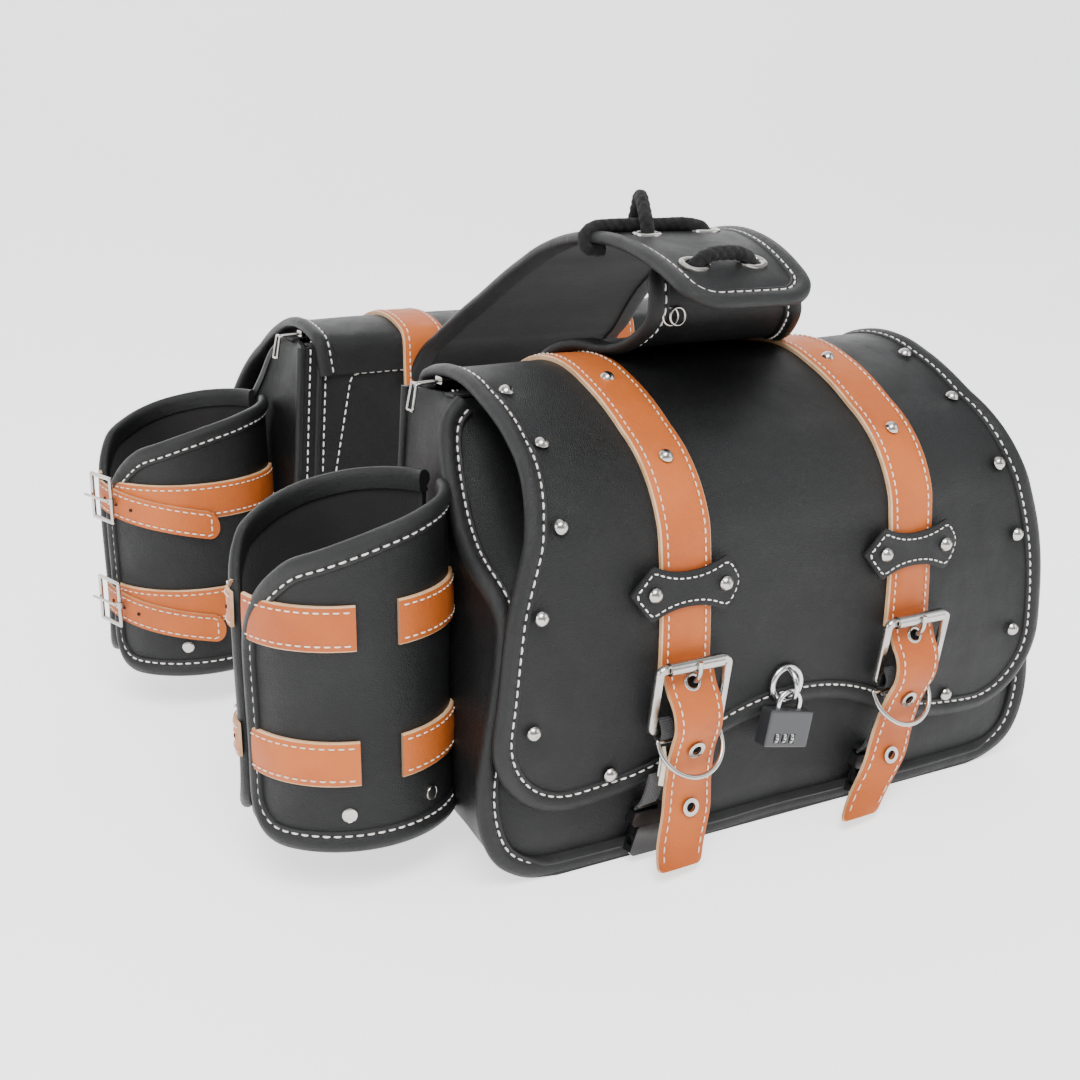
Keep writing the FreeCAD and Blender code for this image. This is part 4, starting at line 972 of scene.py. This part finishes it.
def tongues(side):
    """The straps' tongues through the buckles, down to the ground, with their holes and prongs."""
    place = bag_place(SIDES[side])
    items, rows_of, pits, rims, prongs = [], [], [], [], []
    arm = spline([(0, 177.4, 113), (0, 180.6, 115), (0, 183.6, 119.5), (0, 184.4, 127)], 1)
    tip, sew, rim = 3.5, 3.6, 4.5
    u = np.linspace(-1, 1, 28)
    crown = 0.5 * (1 - u ** 2)[None] - 0.5 * np.abs(u)[None] ** 14
    for way in (-1, 1):
        middle = way * STRAP_X
        prongs.append(tube("prong", place(middle + arm[:, 0], arm[:, 1], arm[:, 2]), 1.5, NICKEL, 10))
        prongs.append(tube("root", place(middle + np.linspace(-2.4, 2.4, 6), 170.7, 84), 3.7, NICKEL, 14))
        sheet = Tongue(smooth(arcs(TONGUE), 1, 4), place, way)
        turn_in = sheet.long - tip
        s = np.concatenate([np.linspace(10.5, turn_in, 130),
                            turn_in + tip * np.sin(np.linspace(0, PI / 2, 9)[1:])])
        half = TONGUE_HALF + 0.7 * np.sin(s / 17 + 0.8)
        half = half - 3.4 * (1 - np.sqrt(1 - np.clip((s - turn_in) / tip, 0, 1) ** 2))
        gx = half[:, None] * u[None]
        gs = s[:, None] + 0 * gx
        items.append(layer("tongue%d" % way, sheet, gx, gs, crown, crown - TONGUE_THICK, LOOSE))
        for up in (112.5, 74, 35.3):
            here = float(sheet.run[np.argmin(np.abs(sheet.line[:, 1] - up))])
            # each hole is a dark disc on the tongue's face, not cut through: black leather seen through it,
            # plus painted shade inside the hole
            pits.append(dome("pit", sheet, 0, here, 0.7, 3.2, 0.3, HOLE_SHADE))
            if up > 100:
                path = (0, here) + rim * flat(np.cos(around(28)), np.sin(around(28)))
                rims.append(sweep("rim", stations(sheet, path, 0.5, True), ring(1.1, 8, 0.8), NICKEL,
                                  closed=True))
        for turn in (-1, 1):
            row = flat(turn * (half - sew), s)[s < sheet.long - 4][4:]
            rows_of.append((sheet, smooth(row, 1, 3), 0.3))
    on_flap(side, joined(side + "_tongues", items), "tan_leather", "tongue_straps")
    on_flap(side, joined(side + "_tongue_holes", pits), "black_leather")
    on_flap(side, joined(side + "_tongue_rims", rims), "nickel")
    placed(joined(side + "_prong_arms", prongs), side + "_prong", "nickel", side + "_buckle_prongs")
    on_flap(side, stitches(side + "_tongue_stitches", rows_of, TAN_THREAD, **TAN_ROW), "tan_leather")


def rounded(corners, reach):
    """A closed line of straight sides whose corners are rounded off."""
    line = []
    corners = [np.array(corner, float) for corner in corners]
    for k, c in enumerate(corners):
        a, b = [c + (to - c) / np.linalg.norm(to - c) * reach
                for to in (corners[k - 1], corners[(k + 1) % len(corners)])]
        line += [tuple((1 - t) ** 2 * a + 2 * t * (1 - t) * c + t * t * b) for t in np.linspace(0, 1, 8)]
    return line


def buckles(side):
    """The flat frames of the roller buckles, leaning in at the bottom, and the loops behind them."""
    place = bag_place(SIDES[side])
    lean, half, top, low = 0.2, 23.5, 124, 84
    plain = Sheet([(178.9 + 76 * lean, 200), (178.9 - 84 * lean, 40)], place)
    section = [(-2.7, -1.3), (-2.7, 0.7), (-1.8, 1.7), (1.8, 1.7), (2.7, 0.7), (2.7, -1.3), (1.9, -1.8),
               (-1.9, -1.8)]
    line = rounded([(-half, top), (half, top), (half, low), (-half, low)], 3.5)
    line = spaced(line + line[:1], 1.2)[:-1]
    turn = around(25)
    items, loops = [], []
    for way in (-1, 1):
        middle = way * STRAP_X
        path = flat(middle + line[:, 0], (200 - line[:, 1]) * math.hypot(1, lean))
        items.append(sweep("frame%d" % way, stations(plain, path, closed=True), section, NICKEL, closed=True))
        for foot in (-15.5, 15.5):
            loop = place(middle + foot + 0 * turn, 171.3 + 4.6 * np.cos(turn), 84.5 + 6.5 * np.sin(turn))
            loops.append(sweep("loop", carried(loop, True), strip(4.2, 0.7), WEBBING, closed=True))
    on_flap(side, joined(side + "_buckle_plates", items), "nickel", "buckle_frames")
    on_flap(side, joined(side + "_ring_loops", loops), "clip_plastic")


def taken(gone, radius):
    """How much a round corner takes off a wall's height at a distance from the wall's end."""
    return np.where(gone < radius, radius - np.sqrt(np.clip(radius ** 2 - (radius - gone) ** 2, 0, None)), 0)


def loose_strap(wall, middle):
    """A holder band's end past its buckle, sagging: its strap, stitch row and holes."""
    first, last, top = 92, HOLDER_R * PI * 0.985, 4.7

    def sag(share):
        return 19 * (1 - share) ** 1.25

    s = np.concatenate([1 - np.cos(np.linspace(0, PI / 2, 16)), np.linspace(1, 12, 90)[1:]]) / 12
    x = first + (last - first) * s
    half = 9.9 * np.sqrt(np.clip(1 - np.clip(1 - s * 12, 0, 1) ** 2, 0, 1)) + 0.3
    gx = np.repeat(x[:, None], 18, 1)
    gs = middle + half[:, None] * np.linspace(-1, 1, 18)[None] - sag(s)[:, None]
    band = layer("loose", wall, gx, gs, top, top - 2, LOOSE)
    row = flat(x, half - 2.6)[12:]
    row = np.concatenate([row[::-1] * (1, -1), row])
    row[:, 1] += middle - sag(np.clip((row[:, 0] - first) / (last - first), 0, 1))
    holes = [dome("hole", wall, first + (last - first) * share, middle - sag(share), top + 0.05, 1.25,
                  0.25, BLACK) for share in (0.62, 0.76, 0.9)]
    return band, (wall, smooth(row, 1, 3), top + 0.2), holes


def holder(side):
    """The bottle holder: a split leather tube with a bound rim, straps and rivets."""
    end = HOLDER_R * (PI - math.asin(6 / HOLDER_R))
    start = HOLDER_R * 0.2
    walls, bindings, rows_of, bands, band_rows, rivets, holes = [], [], [], [], [], [], []
    section, marks = strap_section(BAND_HALF, 0.1, 2.3)
    x = start + (end - start) * np.sin(np.linspace(0, PI / 2, 90))
    along = HOLDER_R * np.cos(x / HOLDER_R)
    high = 30 + np.interp(along, [-61, -45, -20, 0, 30, 61], [150, 166, 176, 182, 188, 192])
    high = high - taken(end - x, 40)
    low = 30.5 + taken(end - x, 26)
    gx = np.repeat(x[:, None], 44, 1)
    gs = low[:, None] + (high - low)[:, None] * np.linspace(0, 1, 44)[None]
    edge = smooth(np.concatenate([flat(x, high), flat(x, low)[::-1]]), 2, 6)
    for number, way in enumerate((1, -1)):
        wall = Round(bag_place(SIDES[side]), HOLDER, HOLDER_R, way)
        walls.append(layer("wall%d" % number, wall, gx, gs, 0, -LEATHER, HIDE))
        bindings.append(sweep("bind%d" % number, stations(wall, edge), [(-a, b) for a, b in BOUND], BINDING))
        rows_of.append((wall, inset(edge, -SEW), 0.7))
        for middle in BAND_LEVELS:
            runs = [(start + 6, end - 10)] if way < 0 else [(start + 6, 88), (112, end - 2)]
            for first, last in runs:
                path = flat(np.linspace(first, last, 60), np.full(60, middle))
                bands.append(sweep("band", stations(wall, path), section, SEWN, marks))
                for shift in (-BAND_SEW, BAND_SEW):
                    band_rows.append((wall, [(first + 2, middle + shift), (last - 2, middle + shift)], 2.4))
            if way < 0:
                band, row, punched = loose_strap(wall, middle)
                bands.append(band)
                band_rows.append(row)
                holes += punched
        for angle in (0.34, 0.62):
            rivets.append(dome("flat", wall, HOLDER_R * PI * angle, 51, 0.2, RIVET, 0.9))
    on_bag(side, joined(side + "_holder_wall", walls), "black_leather", "holder_wrap")
    on_bag(side, joined(side + "_holder_binding", bindings), "black_leather")
    on_bag(side, stitches(side + "_holder_stitches", rows_of, THREAD), "black_leather")
    on_bag(side, joined(side + "_holder_bands", bands), "tan_leather", "holder_straps")
    on_bag(side, stitches(side + "_holder_band_stitches", band_rows, TAN_THREAD, 5.2, 3.6, 1.0, 0.15),
           "tan_leather")
    on_bag(side, joined(side + "_holder_rivets", rivets), "nickel")
    on_bag(side, joined(side + "_holder_strap_holes", holes), "black_leather")


def cord(name, points, radius=4.1):
    """A braided cord along a line in space."""
    here, side, up = carried(spaced(points, 0.8 * MM))
    sides = 18
    turn = around(sides)
    run = np.arange(len(here))[:, None] * 0.8
    braid = sum(0.42 * np.abs(np.sin(1.5 * turn[None] + way * run * 0.55)) for way in (1, -1))
    reach = ((radius - 0.5 + braid) * MM)[..., None]
    verts = here[:, None] + side[:, None] * reach * np.cos(turn)[:, None] \
        + up[:, None] * reach * np.sin(turn)[:, None]
    faces = grid_faces(len(here), sides, wrap=True) + ends(sides, (len(here) - 1) * sides)
    return make(name, verts.reshape(-1, 3), faces, CORD, sharp=80)


def on_yoke(item, slot, fold, *nodes):
    """The piece moves with the near bag."""
    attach(item, "left_bag")
    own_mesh(item)
    if nodes:
        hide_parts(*nodes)


def yoke_panel(sheet, left_line, right_line, radius, count):
    """Flat places of a panel, and its edge: down its right side, across and back up its left."""
    bend = np.sin(np.linspace(0, PI / 2, 16))[1:]
    s = np.concatenate([np.linspace(0, sheet.long - radius, count), sheet.long - radius + radius * bend])
    left, right = [eased(np.interp(s, *line)[:, None], 6)[:, 0] for line in (left_line, right_line)]
    over = np.clip(s - (s[-1] - radius), 0, radius)
    cut = radius - np.sqrt(radius ** 2 - over ** 2)
    left, right = left + cut, right - cut
    gx = left[:, None] + (right - left)[:, None] * np.linspace(0, 1, 66)[None]
    edge = np.concatenate([flat(right, s), flat(left, s)[::-1]])
    return gx, s[:, None] + 0 * gx, smooth(edge, 2, 2)


def near_yoke():
    """The panel sewn to the left bag's back and turned up under the other, its lining at height zero."""
    near = Sheet(smooth(arcs(NEAR_PANEL), 1, 5), row_place, 0.4)
    fold = (-GAP + 0.0165, 0.06)
    face = LEATHER
    gx, gs, edge = yoke_panel(near, ([0, 60, 105, near.long], [-88, -86, -63, -60]),
                              ([0, 60, 105, near.long], [100, 99, 70, 36]), 16, 70)
    on_yoke(layer("left_yoke_panel", near, gx, gs, face, 0, HIDE), "black_leather", fold, "left_yoke")
    on_yoke(sweep("left_yoke_binding", stations(near, edge), [(a, b + face) for a, b in BOUND], BINDING),
            "black_leather", fold)
    rows_of = [(near, inset(edge, SEW), face + 0.7), (near, [(-80, 8), (92, 8)], face)]
    on_yoke(stitches("left_yoke_stitches", rows_of, THREAD), "black_leather", fold)
    turn = around(32)
    rings = [tube("ring%d" % shift, row_place(-45 + shift + 5.3 * np.cos(turn), -187.5 - shift * 0.4,
                                              309.5 + 5.3 * np.sin(turn)), 0.75, NICKEL, 8, True)
             for shift in (0, -4)]
    on_yoke(joined("left_yoke_rings", rings), "nickel", fold)


def far_yoke():
    """The panel sewn to the right bag's back, laid over the left bag's top, with its eyelets and lace.

    Its lining is at height zero and its upper face at minus the leather's thickness.
    """
    far = Sheet(smooth(arcs(FAR_PANEL), 1, 7), row_place, 0.5)
    fold = (0.088, 0.48)
    face = -LEATHER
    gx, gs, edge = yoke_panel(far, ([0, 50, 130, 300, far.long], [-97, -88, -81, -79, -78]),
                              ([0, 60, 130, 250, far.long], [78, 73, 55, 30, 6]), 20, 130)
    near_rim = np.minimum(gx - gx[:, :1], gx[:, -1:] - gx)
    lift = 1.6 * np.sin(np.clip((np.minimum(near_rim, far.long - gs) - 9) / 14, 0, 1) * PI / 2)
    on_yoke(layer("right_yoke_panel", far, gx, gs, face - lift, 0, HIDE), "black_leather", fold, "right_yoke")
    on_yoke(sweep("right_yoke_binding", stations(far, edge), [(a, face - b) for a, b in BOUND], BINDING),
            "black_leather", fold)
    on_yoke(stitches("right_yoke_stitches", [(far, inset(edge, SEW), face - 0.9)], THREAD, proud=0.0),
            "black_leather", fold)

    spots = [(x, far.find(out, up)) for x, up, out in LACE_HOLES]
    rim = [(-2.3, -3.8), (-1.9, -5.6), (-0.6, -6.3), (0.9, -6.2), (2.0, -5.4), (2.4, -4.0), (2.2, -2.6),
           (-2.1, -2.6)]
    oval = flat(7.6 * np.cos(around(32)), 6.6 * np.sin(around(32)))
    eyes = [sweep("eye%d" % number, stations(far, spot + oval, 0.2, True), rim, NICKEL, closed=True)
            for number, spot in enumerate(spots)]
    on_yoke(joined("yoke_eyes", eyes), "nickel", fold, "yoke_grommets")

    # the lace's runs, as (x, s, height above the face), each from and to below its eyelets
    (ax, a), (bx, b), (cx, c), (dx, d) = spots
    runs = ([(ax, a, -4), (ax + 1.5, a, 2.5), (ax + 9, a - 1, 6.2), ((ax + bx) / 2, a - 1.5, 7.2),
             (bx - 9, b - 1, 6.4), (bx - 1.5, b, 2.5), (bx, b, -4)],
            [(dx, d, -4), (dx - 1, d - 1, 2.5), (dx - 9, d - 6, 5.4), (dx - 24, d - 14, 5.4),
             (cx - 4, c - 19, 5.6), (-66, c - 21, 5.4), (-76, c - 21, 4.6), (-82.5, c - 21, 0),
             (-81, c - 21, -7), (-70, c - 21, -9)],
            [(cx, c, -4), (cx + 1, c - 1, 4), (cx + 3, c - 8, 15), (cx + 8, c - 19, 22.5),
             (cx + 13, c - 29, 17), (cx + 15, c - 36, 8), (cx + 16, c - 40, 2)])
    cords = []
    for number, run in enumerate(runs):
        line = spline(run, 1)
        cords.append(cord("cord%d" % number, far.at(line[:, 0], line[:, 1], face - line[:, 2])))
    on_yoke(joined("yoke_cords", cords), "black_cord", fold, "yoke_lace")


for side in SIDES:
    gusset(side)
    front_panel(side)
    back_panel(side)
    zipper(side)
    straps(side, flap(side))
    keepers(side)
    tongues(side)
    buckles(side)
    holder(side)
    zip_pull(side)
    dial_digits(side)
    clip_webbing(side)
near_yoke()
far_yoke()

# ---------------------------------------------------------------- studio

WALL_Y, BEND, HALF_WIDE = 2.4, 1.6, 7
sweep_up = [(WALL_Y + BEND * math.sin(t), BEND - BEND * math.cos(t)) for t in np.linspace(0, PI / 2, 24)[1:]]
floor_line = [(-4.0, 0), (WALL_Y, 0)] + sweep_up + [(WALL_Y + BEND, 6.0)]
verts = [(x, y, z) for x in (-HALF_WIDE, HALF_WIDE) for y, z in floor_line]
glow = FLOOR.node_tree.nodes["Principled BSDF"].inputs
glow["Emission Color"].default_value = (1, 1, 1, 1)
glow["Emission Strength"].default_value = 1.4
make("studio_floor", verts, grid_faces(2, len(floor_line)), FLOOR)

world = bpy.data.worlds.new("studio")
bpy.context.scene.world = world
world.use_nodes = True
sky = world.node_tree.nodes["Background"].inputs
sky["Color"].default_value = (0.95, 0.97, 1.0, 1)
sky["Strength"].default_value = 0.6

# soft lights: name, place, the place it shines at, size and power
for name, place, aim, size, power in (
        ("key", (-0.9, -1.5, 2.2), (0, 0, 0.1), 1.4, 60),
        ("top", (0.3, 0.3, 2.4), (0, 0, 0), 2.2, 12),
        ("left", (-2.3, -0.5, 0.9), (0, -0.15, 0.15), 1.2, 18),
        ("front", (-0.15, -1.5, 2.4), (0, -0.2, 0.2), 0.9, 26),
        ("fill", (1.6, -1.4, 1.0), (0, 0, 0.15), 1.4, 12)):
    lamp = bpy.data.lights.new(name, "AREA")
    lamp.energy = power
    lamp.size = size
    item = bpy.data.objects.new(name, lamp)
    bpy.context.scene.collection.objects.link(item)
    item.location = place
    item.rotation_euler = (Vector(aim) - Vector(place)).to_track_quat("-Z", "Y").to_euler()

LOOKS_DOWN, TURNED_LEFT = 15.61, 29.07
lens = bpy.data.cameras.new("camera")
lens.lens = 49.0
lens.sensor_width = 36
camera = bpy.data.objects.new("camera", lens)
bpy.context.scene.collection.objects.link(camera)
camera.location = (-0.4853, -0.9139, 0.4165)
camera.rotation_euler = (math.radians(90 - LOOKS_DOWN), 0, -math.radians(TURNED_LEFT))
bpy.context.scene.camera = camera
